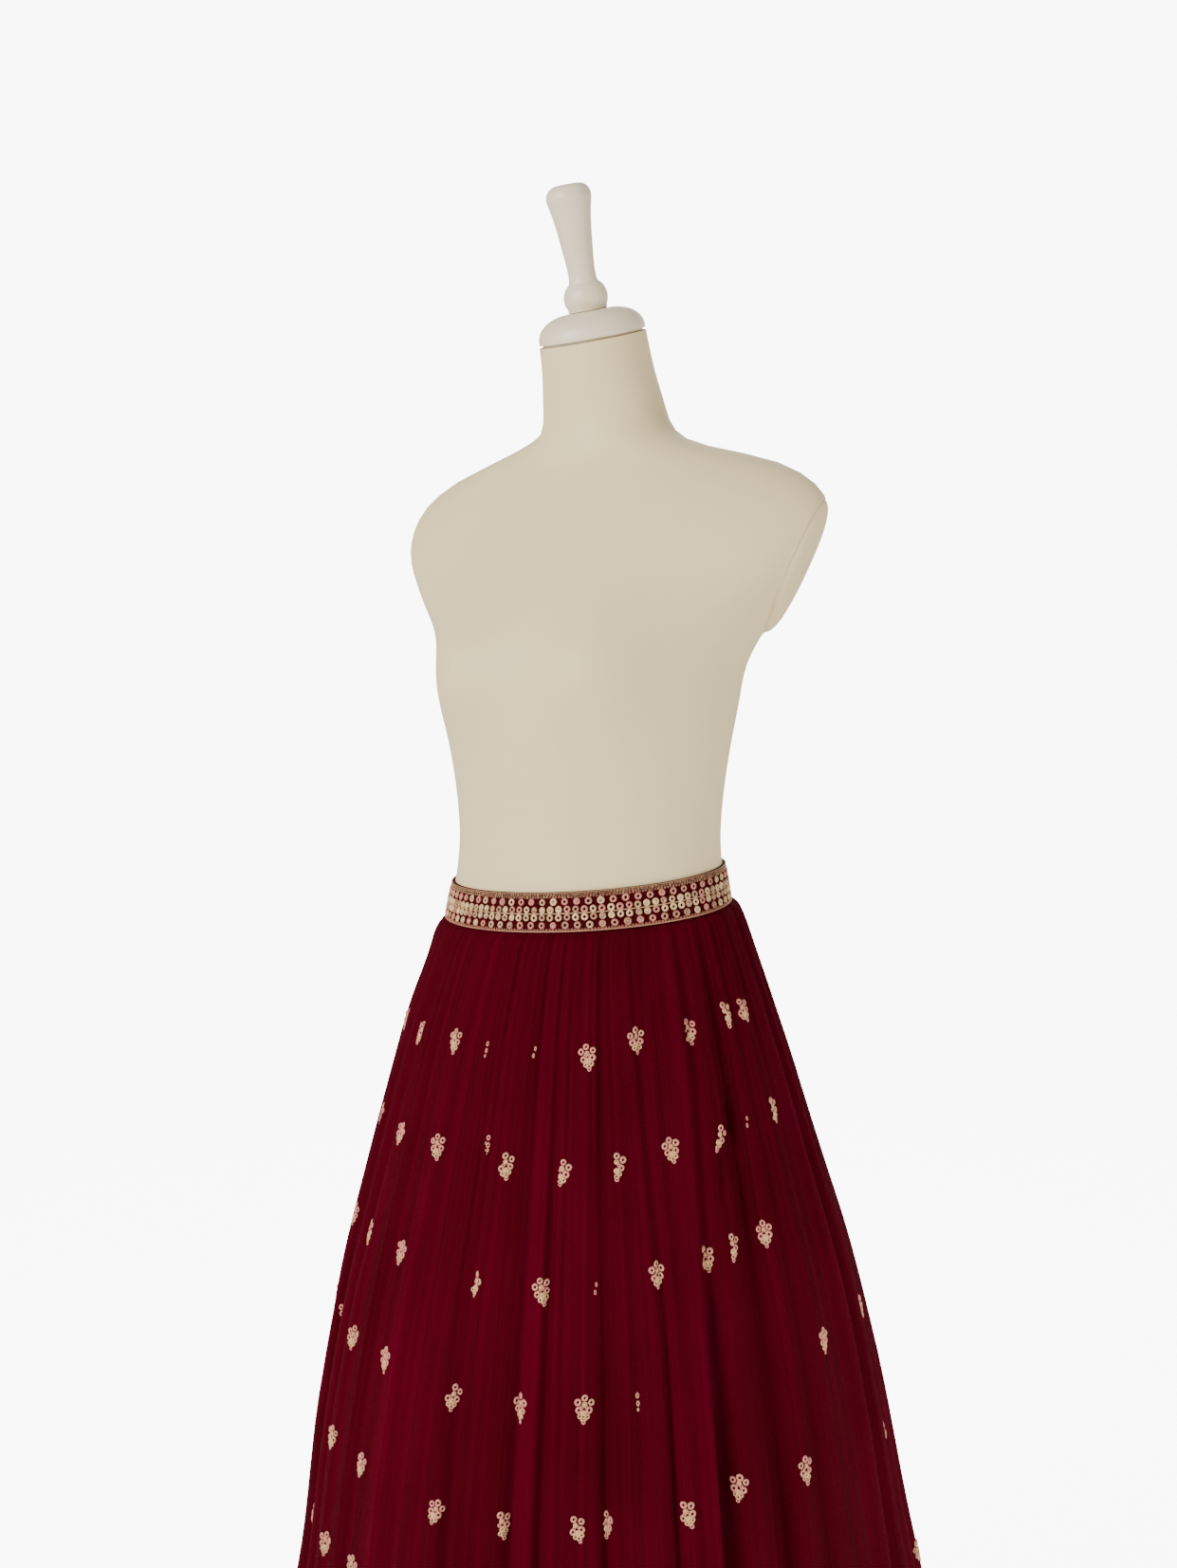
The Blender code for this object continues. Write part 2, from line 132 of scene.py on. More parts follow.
SKIRT_RINGS = [Ring(*row) for row in (
    (0.000, 0.1325, 0.1360, 0.1045, 0.1020, 0.0006, 0.0006),
    (0.006, 0.1362, 0.1405, 0.1095, 0.1055, 0.0011, 0.0012),
    (0.014, 0.1396, 0.1445, 0.1150, 0.1107, 0.0013, 0.0018),
    (0.032, 0.1461, 0.1500, 0.1225, 0.1183, 0.0012, 0.0026),
    (0.075, 0.1610, 0.1660, 0.1385, 0.1359, 0.0008, 0.0040),
    (0.135, 0.1810, 0.1825, 0.1565, 0.1579, 0.0003, 0.0056),
    (0.210, 0.2040, 0.2015, 0.1780, 0.1850, 0.0000, 0.0074),
    (0.300, 0.2310, 0.2220, 0.2035, 0.2180, 0.0000, 0.0092),
    (0.410, 0.2555, 0.2390, 0.2270, 0.2510, 0.0000, 0.0112),
    (0.540, 0.2795, 0.2535, 0.2475, 0.2825, 0.0000, 0.0130),
    (0.750, 0.3260, 0.2930, 0.2900, 0.3340, 0.0000, 0.0156),
    (1.005, 0.3800, 0.3470, 0.3460, 0.3900, 0.0000, 0.0180),
)]


@dataclass(frozen=True)
class Valley:
    """A valley between two folds: its angle and depth share from the band to the hem."""

    top: float
    middle: float
    hem: float
    upper: float
    lower: float


FRONT_VALLEYS = [Valley(*row) for row in (
    (-83.0, -83.0, -83.0, 0.5, 0.6), (-75.5, -75.0, -74.5, 0.9, 1.1), (-68.0, -67.0, -66.0, 0.3, 0.4),
    (-60.5, -59.5, -58.0, 1.1, 1.4), (-52.5, -52.0, -51.5, 0.3, 0.3), (-45.0, -44.0, -43.0, 0.8, 1.1),
    (-37.0, -36.0, -35.0, 1.0, 1.2), (-29.5, -29.0, -28.5, 0.3, 0.3), (-22.5, -22.0, -21.5, 0.6, 0.9),
    (-15.5, -15.0, -14.5, 0.2, 0.3), (-8.5, -8.5, -8.5, 0.5, 0.8), (-1.5, -1.5, -1.5, 0.4, 0.4),
    (4.0, 4.5, 5.0, 0.7, 0.7), (9.5, 10.5, 11.0, 0.3, 0.4), (15.0, 16.2, 16.5, 0.8, 0.5),
    (20.6, 21.8, 21.5, 0.7, 0.8), (26.6, 27.4, 27.6, 0.3, 0.2), (32.2, 33.0, 33.4, 0.8, 1.2),
    (37.8, 39.3, 39.5, 0.3, 0.2), (43.2, 45.0, 46.0, 0.8, 0.7), (50.5, 49.6, 49.4, 0.5, 0.3),
    (60.5, 54.2, 52.5, 1.2, 1.2), (70.0, 67.0, 64.0, 1.2, 1.4), (77.5, 76.5, 74.0, 0.3, 0.4),
    (84.0, 83.5, 83.0, 0.2, 0.3),
)]


@dataclass(frozen=True)
class Crease:
    """A soft trough along a fold: its angle where it starts and ends, reach and size."""

    start_angle: float
    end_angle: float
    start: float
    end: float
    width: float
    depth: float


FRONT_CREASES = [Crease(*row) for row in (
    (12.0, 13.5, 0.02, 0.26, 0.0050, 0.0016), (18.0, 18.5, 0.04, 0.34, 0.0055, 0.0014),
    (24.5, 23.5, 0.00, 0.20, 0.0045, 0.0018), (29.0, 31.5, 0.05, 0.42, 0.0060, 0.0018),
    (35.5, 36.5, 0.01, 0.17, 0.0045, 0.0016), (40.5, 42.5, 0.03, 0.38, 0.0060, 0.0020),
    (47.5, 44.0, 0.00, 0.14, 0.0050, 0.0022), (48.0, 47.5, 0.10, 0.55, 0.0065, 0.0018),
    (53.5, 52.5, 0.02, 0.30, 0.0060, 0.0022), (57.0, 50.5, 0.12, 0.36, 0.0070, 0.0020),
    (74.0, 60.0, 0.11, 0.21, 0.0060, 0.0034), (64.0, 54.0, 0.16, 0.32, 0.0070, 0.0032),
    (74.0, 68.5, 0.12, 0.36, 0.0060, 0.0026), (65.0, 60.5, 0.15, 0.62, 0.0080, 0.0026),
    (66.5, 57.5, 0.22, 0.50, 0.0080, 0.0018), (72.5, 70.0, 0.03, 0.45, 0.0070, 0.0020),
    (75.0, 71.0, 0.30, 0.80, 0.0090, 0.0022), (80.5, 79.0, 0.02, 0.36, 0.0070, 0.0016),
    (81.0, 78.0, 0.34, 0.90, 0.0110, 0.0026), (87.0, 86.5, 0.06, 0.50, 0.0080, 0.0018),
)]


class Curve:
    """A smooth curve through the rows of a table."""

    def __init__(self, places: Sequence[float], values: Sequence[float]) -> None:
        """Keep the rows, in growing order, and work out the slope at each.

        Args:
            places: where the rows lie.
            values: the value of each row.
        """
        self.places, self.values = np.array(places, float), np.array(values, float)
        rows = np.arange(len(places))
        low, high = np.maximum(rows - 1, 0), np.minimum(rows + 1, rows[-1])
        rise = self.values[high] - self.values[low]
        self.slopes = rise / (self.places[high] - self.places[low])

    def __call__(self, at: Array | float) -> Array:
        """Read the curve.

        Args:
            at: one place or an array of places.

        Returns:
            The value at each place.
        """
        at = np.clip(at, self.places[0], self.places[-1])
        i = np.clip(np.searchsorted(self.places, at, "right") - 1, 0, len(self.places) - 2)
        span = self.places[i + 1] - self.places[i]
        s = (at - self.places[i]) / span
        ends = (1 + 2 * s) * (1 - s) ** 2 * self.values[i] + s * s * (3 - 2 * s) * self.values[i + 1]
        bend = s * (1 - s) ** 2 * self.slopes[i] - s * s * (1 - s) * self.slopes[i + 1]
        return ends + bend * span


def curves(rows: Sequence[Section | Ring], at: str) -> dict[str, Curve]:
    """Make a curve for each column of a table.

    Args:
        rows: the table.
        at: the column that says where a row lies.

    Returns:
        The other columns' curves by name.
    """
    places = [getattr(row, at) for row in rows]
    names = [column.name for column in fields(rows[0]) if column.name != at]
    return {name: Curve(places, [getattr(row, name) for row in rows]) for name in names}


def ease(value: Array) -> Array:
    """Return a share between 0 and 1 with soft ends."""
    s = np.clip(value, 0.0, 1.0)
    return s * s * (3 - 2 * s)


@dataclass
class WaistLine:
    """Where the waist line lies: its height over the centre and how it climbs."""

    top: float = 1.060
    height: float = 0.0315
    climb_side: float = 0.055
    climb_back: float = 0.100

    def climb(self, x: Array, y: Array) -> Array:
        """Return how much higher the waist line lies at a place than over the centre."""
        return self.climb_side * x + self.climb_back * y


class FormShape:
    """The surface of the dress form as a function of angle and height."""

    BUST_RISE = 0.030
    BUST_APART = 0.078
    BUST_LEVEL = 1.226
    BUST_WIDTH = 0.047
    BUST_HEIGHT = 0.052
    SHOULDER_RISE = 0.006
    SHOULDER_START = 0.050
    SHOULDER_SPREAD = 0.022
    SHOULDER_FOOT = 1.335
    SHOULDER_FULL = 1.395
    NECK_CLEAR = 1.455
    NECK_FADE = 0.018

    def __init__(self) -> None:
        """Make the curves of the section table."""
        self.outline = curves(FORM_SECTIONS, "z")
        self.bottom, self.top = FORM_SECTIONS[0].z, FORM_SECTIONS[-1].z

    def points(self, angle: Array, z: Array, out: Array | float = 0.0) -> Array:
        """Find surface points.

        Args:
            angle: angles round the body, in degrees.
            z: heights.
            out: how far the points are moved out, level.

        Returns:
            An array of points, its last axis x, y and z.
        """
        turn = np.radians(angle)
        facing = np.cos(turn)
        half_width, front, side, back = (self.outline[n](z) for n in ("half_width", "front", "side", "back"))
        reach = np.where(facing > 0, side - front, back - side) + out
        x = (half_width + out) * np.sin(turn)
        across = (np.abs(x) - self.BUST_APART) / self.BUST_WIDTH
        up = (z - self.BUST_LEVEL) / self.BUST_HEIGHT
        bust = self.BUST_RISE * np.exp(-across * across - up * up) * np.clip(facing, 0, None)
        return np.stack(np.broadcast_arrays(x, side - reach * facing - bust, z), axis=-1)

    def body(self, angle: Array, z: Array) -> Array:
        """Find the body's corners, where the wearer's right shoulder sits a little higher.

        Args:
            angle: angles round the body, in degrees.
            z: heights.

        Returns:
            The corners.
        """
        place = self.points(angle, z)
        beside = ease((-place[..., 0] - self.SHOULDER_START) / self.SHOULDER_SPREAD)
        above = ease((z - self.SHOULDER_FOOT) / (self.SHOULDER_FULL - self.SHOULDER_FOOT))
        below_neck = ease((self.NECK_CLEAR - z) / self.NECK_FADE)
        place[..., 2] += self.SHOULDER_RISE * beside * above * below_neck
        return place


class BandPath:
    """The line that the waistband follows round the form, measured along its length."""

    SAMPLES = 1440
    CLOSURE = -90.0
    ROUNDS = 3

    def __init__(self, form: FormShape, waist: WaistLine, out: float) -> None:
        """Measure the line.

        Args:
            form: the form that the band sits on.
            waist: where the waist line lies.
            out: how far from the form the line is measured.
        """
        self.form, self.waist = form, waist
        self.angles = np.linspace(self.CLOSURE, self.CLOSURE + 360.0, self.SAMPLES + 1)
        line = self.at_angle(self.angles, np.full_like(self.angles, waist.height / 2), out)
        steps = np.linalg.norm(np.diff(line, axis=0), axis=1)
        self.lengths = np.concatenate(([0.0], np.cumsum(steps)))
        self.length = float(self.lengths[-1])

    def at_angle(self, angle: Array, below: Array, out: Array | float) -> Array:
        """Find points of the band, whose height depends on where they lie.

        Args:
            angle: angles round the body, in degrees.
            below: distance under the band's top edge.
            out: distance from the form.

        Returns:
            The points.
        """
        z = self.waist.top - below
        for _ in range(self.ROUNDS):
            place = self.form.points(angle, z, out)
            z = self.waist.top - below + self.waist.climb(place[..., 0], place[..., 1])
        return self.form.points(angle, z, out)

    def at_length(self, along: Array, below: Array, out: Array | float) -> Array:
        """Find points by length along the band instead of by angle."""
        wrapped = np.mod(along, self.length)
        return self.at_angle(np.interp(wrapped, self.lengths, self.angles), below, out)


class SkirtShape:
    """The surface of the gathered cloth, from valley to valley round the body."""

    SEAM_SHARE = 0.6
    BACK_FOLDS = 22
    BACK_DRIFT = 1.5
    MIDDLE_DROP = 0.35
    SHARPNESS = 2.1
    RIDGE = 0.12
    SWAY = 0.0016
    HIDDEN_CREASES = 58
    GATHER_CREASES = 300
    LONG_CREASES = 240
    TUCK = 0.0030
    TUCK_REACH = 0.006

    def __init__(self, waist: WaistLine) -> None:
        """Make the outline curves and the list of valleys all round."""
        self.outline = curves(SKIRT_RINGS, "drop")
        self.length = SKIRT_RINGS[-1].drop
        self.waist = waist
        self.valleys = self._all_valleys()
        self.left_seam = len(FRONT_VALLEYS) + 1
        self.creases = FRONT_CREASES + self._hidden_creases() + self._fine_creases()

    def _all_valleys(self) -> list[Valley]:
        """List the valleys from the right side seam round to it again."""
        right, left, end = (Valley(a, a, a, self.SEAM_SHARE, self.SEAM_SHARE) for a in (-90.0, 90.0, 270.0))
        back = []
        for i in range(1, self.BACK_FOLDS):
            at = 90.0 + 180.0 / self.BACK_FOLDS * i
            drift = self.BACK_DRIFT * math.sin(2.1 * i)
            share = 0.75 + 0.50 * math.sin(1.7 * i + 0.6)
            back.append(Valley(at + drift, at + 0.6 * drift, at - 0.5 * drift,
                               share, share + 0.15 + 0.4 * math.sin(2.9 * i)))
        return [right, *FRONT_VALLEYS, left, *back, end]

    def _hidden_creases(self) -> list[Crease]:
        """Make creases like the front's for the sides that the front table leaves out."""
        creases = []
        for i in range(self.HIDDEN_CREASES):
            angle = 92.0 + 4.75 * i + 1.4 * math.sin(2.7 * i)
            start = 0.02 + 0.20 * (0.5 + 0.5 * math.sin(1.9 * i + 0.4)) ** 2
            reach = 0.16 + 0.42 * (0.5 + 0.5 * math.sin(3.3 * i + 1.1))
            creases.append(Crease(angle, angle + 2.6 * math.sin(1.3 * i), start, start + reach,
                                  0.0050 + 0.0050 * reach, 0.0015 + 0.0009 * math.sin(2.2 * i)))
        return creases

    def _fine_creases(self) -> list[Crease]:
        """Make the many small creases: short ones in the gathers and longer, slightly slanting ones."""
        chance = np.random.default_rng(5)
        creases = []
        for _ in range(self.GATHER_CREASES):
            angle, reach = chance.uniform(-90.0, 270.0), chance.uniform(0.05, 0.20)
            creases.append(Crease(angle, angle + chance.normal(0.0, 0.5), -0.02, reach,
                                  chance.uniform(0.0014, 0.0024), chance.uniform(0.0002, 0.0008)))
        for _ in range(self.LONG_CREASES):
            angle, start = chance.uniform(-90.0, 270.0), chance.uniform(-0.05, 0.65)
            end = min(start + chance.uniform(0.12, 0.55), 1.3)
            creases.append(Crease(angle, angle + chance.normal(0.0, 1.6), start, end,
                                  chance.uniform(0.0030, 0.0070), chance.uniform(0.0005, 0.0015)))
        return creases

    def _between(self, names: Sequence[str], share: Array) -> Array:
        """Blend three values of every valley over the drop.

        Args:
            names: the fields at the band, the middle and the hem.
            share: the drop as a share of the skirt's length.

        Returns:
            One row for each share, one column for each valley.
        """
        first, middle, last = (np.array([getattr(v, n) for v in self.valleys]) for n in names)
        upper = ease(share / self.MIDDLE_DROP)[:, None]
        lower = np.clip((share - self.MIDDLE_DROP) / (1 - self.MIDDLE_DROP), 0, 1)[:, None]
        return first + (middle - first) * upper + (last - middle) * lower

    def panel(self, first: int, last: int, per_fold: int, drops: Array) -> ClothGrid:
        """Find the cloth's outer points from one seam to the next.

        Args:
            first: the valley that the panel starts at.
            last: the valley that it ends at.
            per_fold: columns across one fold.
            drops: how far below the band each row lies.

        Returns:
            The points with their angles.
        """
        share = np.clip(drops / self.length, 0, 1)
        place = np.arange((last - first) * per_fold + 1) / per_fold
        cell = np.minimum(place.astype(int), last - first - 1)
        s, low = place - cell, first + cell
        spread = self._between(("top", "middle", "hem"), share)
        depth = self._between(("upper", "upper", "lower"), share)
        angle, weight = (values[:, low] + (values[:, low + 1] - values[:, low]) * s
                         for values in (spread, depth))
        sunk = (0.5 + 0.5 * np.cos(2 * np.pi * s)) ** self.SHARPNESS
        ridge = self.RIDGE * (1 + np.sin(2.3 * low)) * (1 - sunk)
        inward = self.outline["fold"](drops)[:, None] * (weight * sunk + ridge)
        inward += self._gathers(drops, angle, s)
        inward += self._sway(share[:, None], np.radians(angle))
        inward += self.TUCK * np.clip(1 - drops / self.TUCK_REACH, 0, 1)[:, None] ** 1.5
        surface = self._surface(angle, drops[:, None], inward)
        return ClothGrid(self._press_creases(surface, angle, drops), angle, drops)

    def _gathers(self, drops: Array, angle: Array, s: Array) -> Array:
        """Find how deep the small gathers go: two to a fold, unevenly tight.

        Args:
            drops: the drop of each row.
            angle: the angle of each point.
            s: how far across its fold each column lies.

        Returns:
            The depths.
        """
        turn = np.radians(angle)
        uneven = 0.75 + 0.35 * np.sin(turn * 23.0 + 1.3)
        fine = 0.5 + 0.5 * np.cos(4 * np.pi * s)
        ripple = 0.5 + 0.5 * np.cos(turn * 97.0 + 3.0 * np.sin(turn * 11.0))
        return self.outline["gather"](drops)[:, None] * (0.75 * uneven * fine + 0.40 * ripple)

    def _sway(self, fall: Array, turn: Array) -> Array:
        """Return the slow bulges that keep the folds from hanging dead straight."""
        slow = np.sin(3 * turn + 5.0 * fall) + 0.7 * np.sin(7 * turn - 8.0 * fall + 1.0)
        return self.SWAY * fall ** 0.5 * slow

    def _surface(self, angle: Array, drop: Array, inward: Array) -> Array:
        """Find points of the outline moved inwards.

        Args:
            angle: angles round the body, in degrees.
            drop: how far below the band they lie.
            inward: how far they are moved.

        Returns:
            The points.
        """
        turn = np.radians(angle)
        left, right, front, back = (self.outline[n](drop) for n in ("left", "right", "front", "back"))
        x = (np.where(np.sin(turn) > 0, left, right) - inward) * np.sin(turn)
        y = -(np.where(np.cos(turn) > 0, front, back) - inward) * np.cos(turn)
        fade = 1 - np.clip(drop / self.length, 0, 1)
        z = self.waist.top - self.waist.height - drop + fade * self.waist.climb(x, y)
        return np.stack(np.broadcast_arrays(x, y, z), axis=-1)

    def _press_creases(self, surface: Array, angle: Array, drops: Array) -> Array:
        """Press the creases into a grid of points, inwards and level.

        Args:
            surface: the points.
            angle: their angles.
            drops: the drop of each row.

        Returns:
            The pressed points.
        """
        radius = np.linalg.norm(surface[..., :2], axis=-1)
        sunk = np.zeros_like(radius)
        for crease in self.creases:
            along = np.clip((drops - crease.start) / (crease.end - crease.start), 0, 1)
            centre = crease.start_angle + (crease.end_angle - crease.start_angle) * along
            off = (angle - centre[:, None] + 180.0) % 360.0 - 180.0
            near = np.exp(-((np.radians(off) * radius / crease.width) ** 2))
            sunk += crease.depth * (np.sin(np.pi * along) ** 0.7)[:, None] * near
        pressed = surface.copy()
        pressed[..., :2] *= (1 - sunk / radius)[..., None]
        return pressed


class ClothGrid:
    """A panel's points, with their angles and outward normals, for what is sewn on it."""

    def __init__(self, points: Array, angles: Array, drops: Array) -> None:
        """Work out the normals and the length run along each row.

        Args:
            points: rows, columns and x, y, z.
            angles: the angle of each point, in degrees.
            drops: the drop of each row.
        """
        self.points, self.angles, self.drops = points, angles, drops
        normal = np.cross(np.gradient(points, axis=0), np.gradient(points, axis=1))
        self.normals = normal / np.linalg.norm(normal, axis=-1, keepdims=True)
        steps = np.linalg.norm(np.diff(points, axis=1), axis=-1)
        self.run = np.pad(np.cumsum(steps, axis=1), ((0, 0), (1, 0)))

    @staticmethod
    def read(values: Array, row: Array, column: Array) -> Array:
        """Read an array between its rows and columns.

        Args:
            values: one vector for each point of the grid.
            row: row places, which may lie between rows.
            column: column places, likewise.

        Returns:
            The blended values.
        """
        r = np.clip(row.astype(int), 0, values.shape[0] - 2)
        c = np.clip(column.astype(int), 0, values.shape[1] - 2)
        down, over = np.clip(row - r, 0, 1)[:, None], np.clip(column - c, 0, 1)[:, None]
        upper = values[r, c] * (1 - over) + values[r, c + 1] * over
        lower = values[r + 1, c] * (1 - over) + values[r + 1, c + 1] * over
        return upper * (1 - down) + lower * down

    def sew(self, shape: Array, angle: float, drop: float) -> Array:
        """Bend a flat shape onto the cloth.

        Args:
            shape: points across, up and out from the shape's middle.
            angle: where the middle goes round the body, in degrees.
            drop: how far below the band it goes.

        Returns:
            The points in place.
        """
        rows, columns = (np.arange(count) for count in self.points.shape[:2])
        level = min(round(float(np.interp(drop, self.drops, rows))), len(rows) - 1)
        start = np.interp(angle, self.angles[level], self.run[level])
        column = np.interp(start + shape[:, 0], self.run[level], columns)
        row = np.interp(drop - shape[:, 1], self.drops, rows)
        out = self.read(self.normals, row, column)
        out /= np.linalg.norm(out, axis=-1, keepdims=True)
        return self.read(self.points, row, column) + out * shape[:, 2:3]


class Bench:
    """Blender's modelling operators, used on one new object at a time."""

    @staticmethod
    def pick(item: Item | None = None) -> None:
        """Deselect everything, then select one object and make it active."""
        bpy.ops.object.select_all(action="DESELECT")
        if item:
            item.select_set(True)
            bpy.context.view_layer.objects.active = item

    @staticmethod
    def pick_faces(item: Item, test: Callable[[bmesh.types.BMFace], bool]) -> None:
        """Select only the faces that pass a test, in edit mode."""
        mesh = bmesh.from_edit_mesh(item.data)
        bpy.ops.mesh.select_mode(type="FACE")
        for face in mesh.faces:
            face.select_set(test(face))
        mesh.select_flush_mode()
        bmesh.update_edit_mesh(item.data)

    @classmethod
    def turned(cls, name: str, profile: Profile, steps: int) -> Item:
        """Model a turned piece: a disc extruded up its axis and scaled at every step.

        Args:
            name: the new object's name.
            profile: radius and height of each step, from below.
            steps: corners round the disc.

        Returns:
            The closed piece.
        """
        cls.pick()
        radius, height = profile[0]
        bpy.ops.mesh.primitive_circle_add(vertices=steps, radius=radius, fill_type="NGON",
                                          location=(0.0, 0.0, height))
        item = bpy.context.object
        item.name = name
        bpy.ops.object.mode_set(mode="EDIT")
        bpy.ops.mesh.select_all(action="SELECT")
        for (wide, low), (next_wide, high) in zip(profile, profile[1:]):
            bpy.ops.mesh.extrude_region_move(TRANSFORM_OT_translate={"value": (0, 0, high - low)})
            size = next_wide / wide
            bpy.ops.transform.resize(value=(size, size, 1.0), center_override=(0.0, 0.0, high))
        cls.close_up()
        return item

    @staticmethod
    def close_up() -> None:
        """Turn all faces outwards and leave edit mode."""
        bpy.ops.mesh.select_all(action="SELECT")
        bpy.ops.mesh.normals_make_consistent(inside=False)
        bpy.ops.object.mode_set(mode="OBJECT")

    @classmethod
    def smooth(cls, item: Item, sharp: float = 40.0) -> None:
        """Shade an object smooth, but for edges sharper than an angle in degrees."""
        cls.pick(item)
        bpy.ops.object.shade_smooth_by_angle(angle=math.radians(sharp))

    @classmethod
    def settle(cls, item: Item) -> None:
        """Apply an object's place, turn and size to its mesh."""
        cls.pick(item)
        bpy.ops.object.transform_apply(location=True, rotation=True, scale=True)

    @staticmethod
    def sheet(name: str, points: Array, faces: list) -> Item:
        """Make an object of points and faces."""
        mesh = bpy.data.meshes.new(name)
        mesh.from_pydata(points.tolist(), [], faces)
        item = bpy.data.objects.new(name, mesh)
        bpy.context.scene.collection.objects.link(item)
        return item

    @staticmethod
    def add_map(item: Item, across: Array, down: Array) -> None:
        """Give an object a map of the cloth, in metres, from one place for each point."""
        values = np.stack((across, down), axis=-1).reshape(-1, 2)
        layer = item.data.uv_layers.new(name="cloth")
        corners = np.empty(len(item.data.loops), np.int32)
        item.data.loops.foreach_get("vertex_index", corners)
        layer.data.foreach_set("uv", values[corners].astype(np.float32).ravel())


def grid_faces(rows: int, columns: int, closed: bool = False) -> Array:
    """List the faces of a grid of points.

    Args:
        rows: rows of points.
        columns: points in a row.
        closed: whether the last column joins the first again.

    Returns:
        Four point numbers for each face, facing along down times across.
    """
    r, c = np.meshgrid(np.arange(rows - 1), np.arange(columns if closed else columns - 1),
                       indexing="ij")
    beside = (c + 1) % columns
    corners = (r * columns + c, (r + 1) * columns + c, (r + 1) * columns + beside, r * columns + beside)
    return np.stack(corners, axis=-1).reshape(-1, 4)


def arc(centre: tuple[float, float], radius: float, start: float, end: float, steps: int) -> Profile:
    """List points of an arc in a turned profile, its angles in degrees."""
    turns = np.radians(np.linspace(start, end, steps + 1))
    return [(centre[0] + radius * math.cos(t), centre[1] + radius * math.sin(t)) for t in turns]


def opaque(colour: object) -> object:
    """Give a plain colour full alpha, and leave a socket as it is."""
    return (*colour, 1.0) if isinstance(colour, tuple) else colour


class Graph:
    """A node tree and short calls that fill it."""

    def __init__(self, tree: bpy.types.NodeTree) -> None:
        """Keep the tree."""
        self.tree = tree

    def feed(self, socket: Socket, value: object) -> None:
        """Link a socket into an input, or set the input's own value."""
        if isinstance(value, Socket):
            self.tree.links.new(value, socket)
        else:
            socket.default_value = opaque(value) if socket.type == "RGBA" else value

    def node(self, kind: str, settings: dict[str, object] | None = None,
             inputs: dict[str | int, object] | None = None) -> bpy.types.Node:
        """Add a node.

        Args:
            kind: the node's type.
            settings: its own options by name.
            inputs: what goes into its sockets, by name or number.

        Returns:
            The node.
        """
        node = self.tree.nodes.new(kind)
        for name, value in (settings or {}).items():
            setattr(node, name, value)
        for key, value in (inputs or {}).items():
            self.feed(node.inputs[key], value)
        return node

    def math(self, operation: str, first: object, second: object = 0.0) -> Socket:
        """Add a math node and return its result."""
        return self.node("ShaderNodeMath", {"operation": operation}, {0: first, 1: second}).outputs[0]

    def plus(self, first: object, second: object) -> Socket:
        """Add two values."""
        return self.math("ADD", first, second)

    def minus(self, first: object, second: object) -> Socket:
        """Take one value from another."""
        return self.math("SUBTRACT", first, second)

    def times(self, first: object, second: object) -> Socket:
        """Multiply two values."""
        return self.math("MULTIPLY", first, second)

    def mix(self, share: object, first: object, second: object) -> Socket:
        """Blend two colours and return the result."""
        return self.node("ShaderNodeMix", {"data_type": "RGBA"}, {0: share, 6: first, 7: second}).outputs[2]

    def noise(self, vector: object, scale: object, detail: float = 2.0) -> Socket:
        """Add a noise texture and return its value."""
        inputs = {"Vector": vector, "Scale": scale, "Detail": detail}
        return self.node("ShaderNodeTexNoise", None, inputs).outputs[0]

    def stretch(self, vector: object, scale: tuple[float, float, float]) -> Socket:
        """Scale a vector unevenly and return the result."""
        return self.node("ShaderNodeMapping", None, {"Vector": vector, "Scale": scale}).outputs[0]

    def bump(self, height: object, distance: float, strength: float, **under: Socket) -> Socket:
        """Turn a height into a normal, on top of another normal where one is given."""
        inputs = {"Height": height, "Distance": distance, "Strength": strength, **under}
        return self.node("ShaderNodeBump", None, inputs).outputs[0]

    def shared(self, tree: bpy.types.NodeTree, **inputs: object) -> Socket:
        """Place a shared group and return its output."""
        return self.node("ShaderNodeGroup", {"node_tree": tree}, inputs).outputs[0]


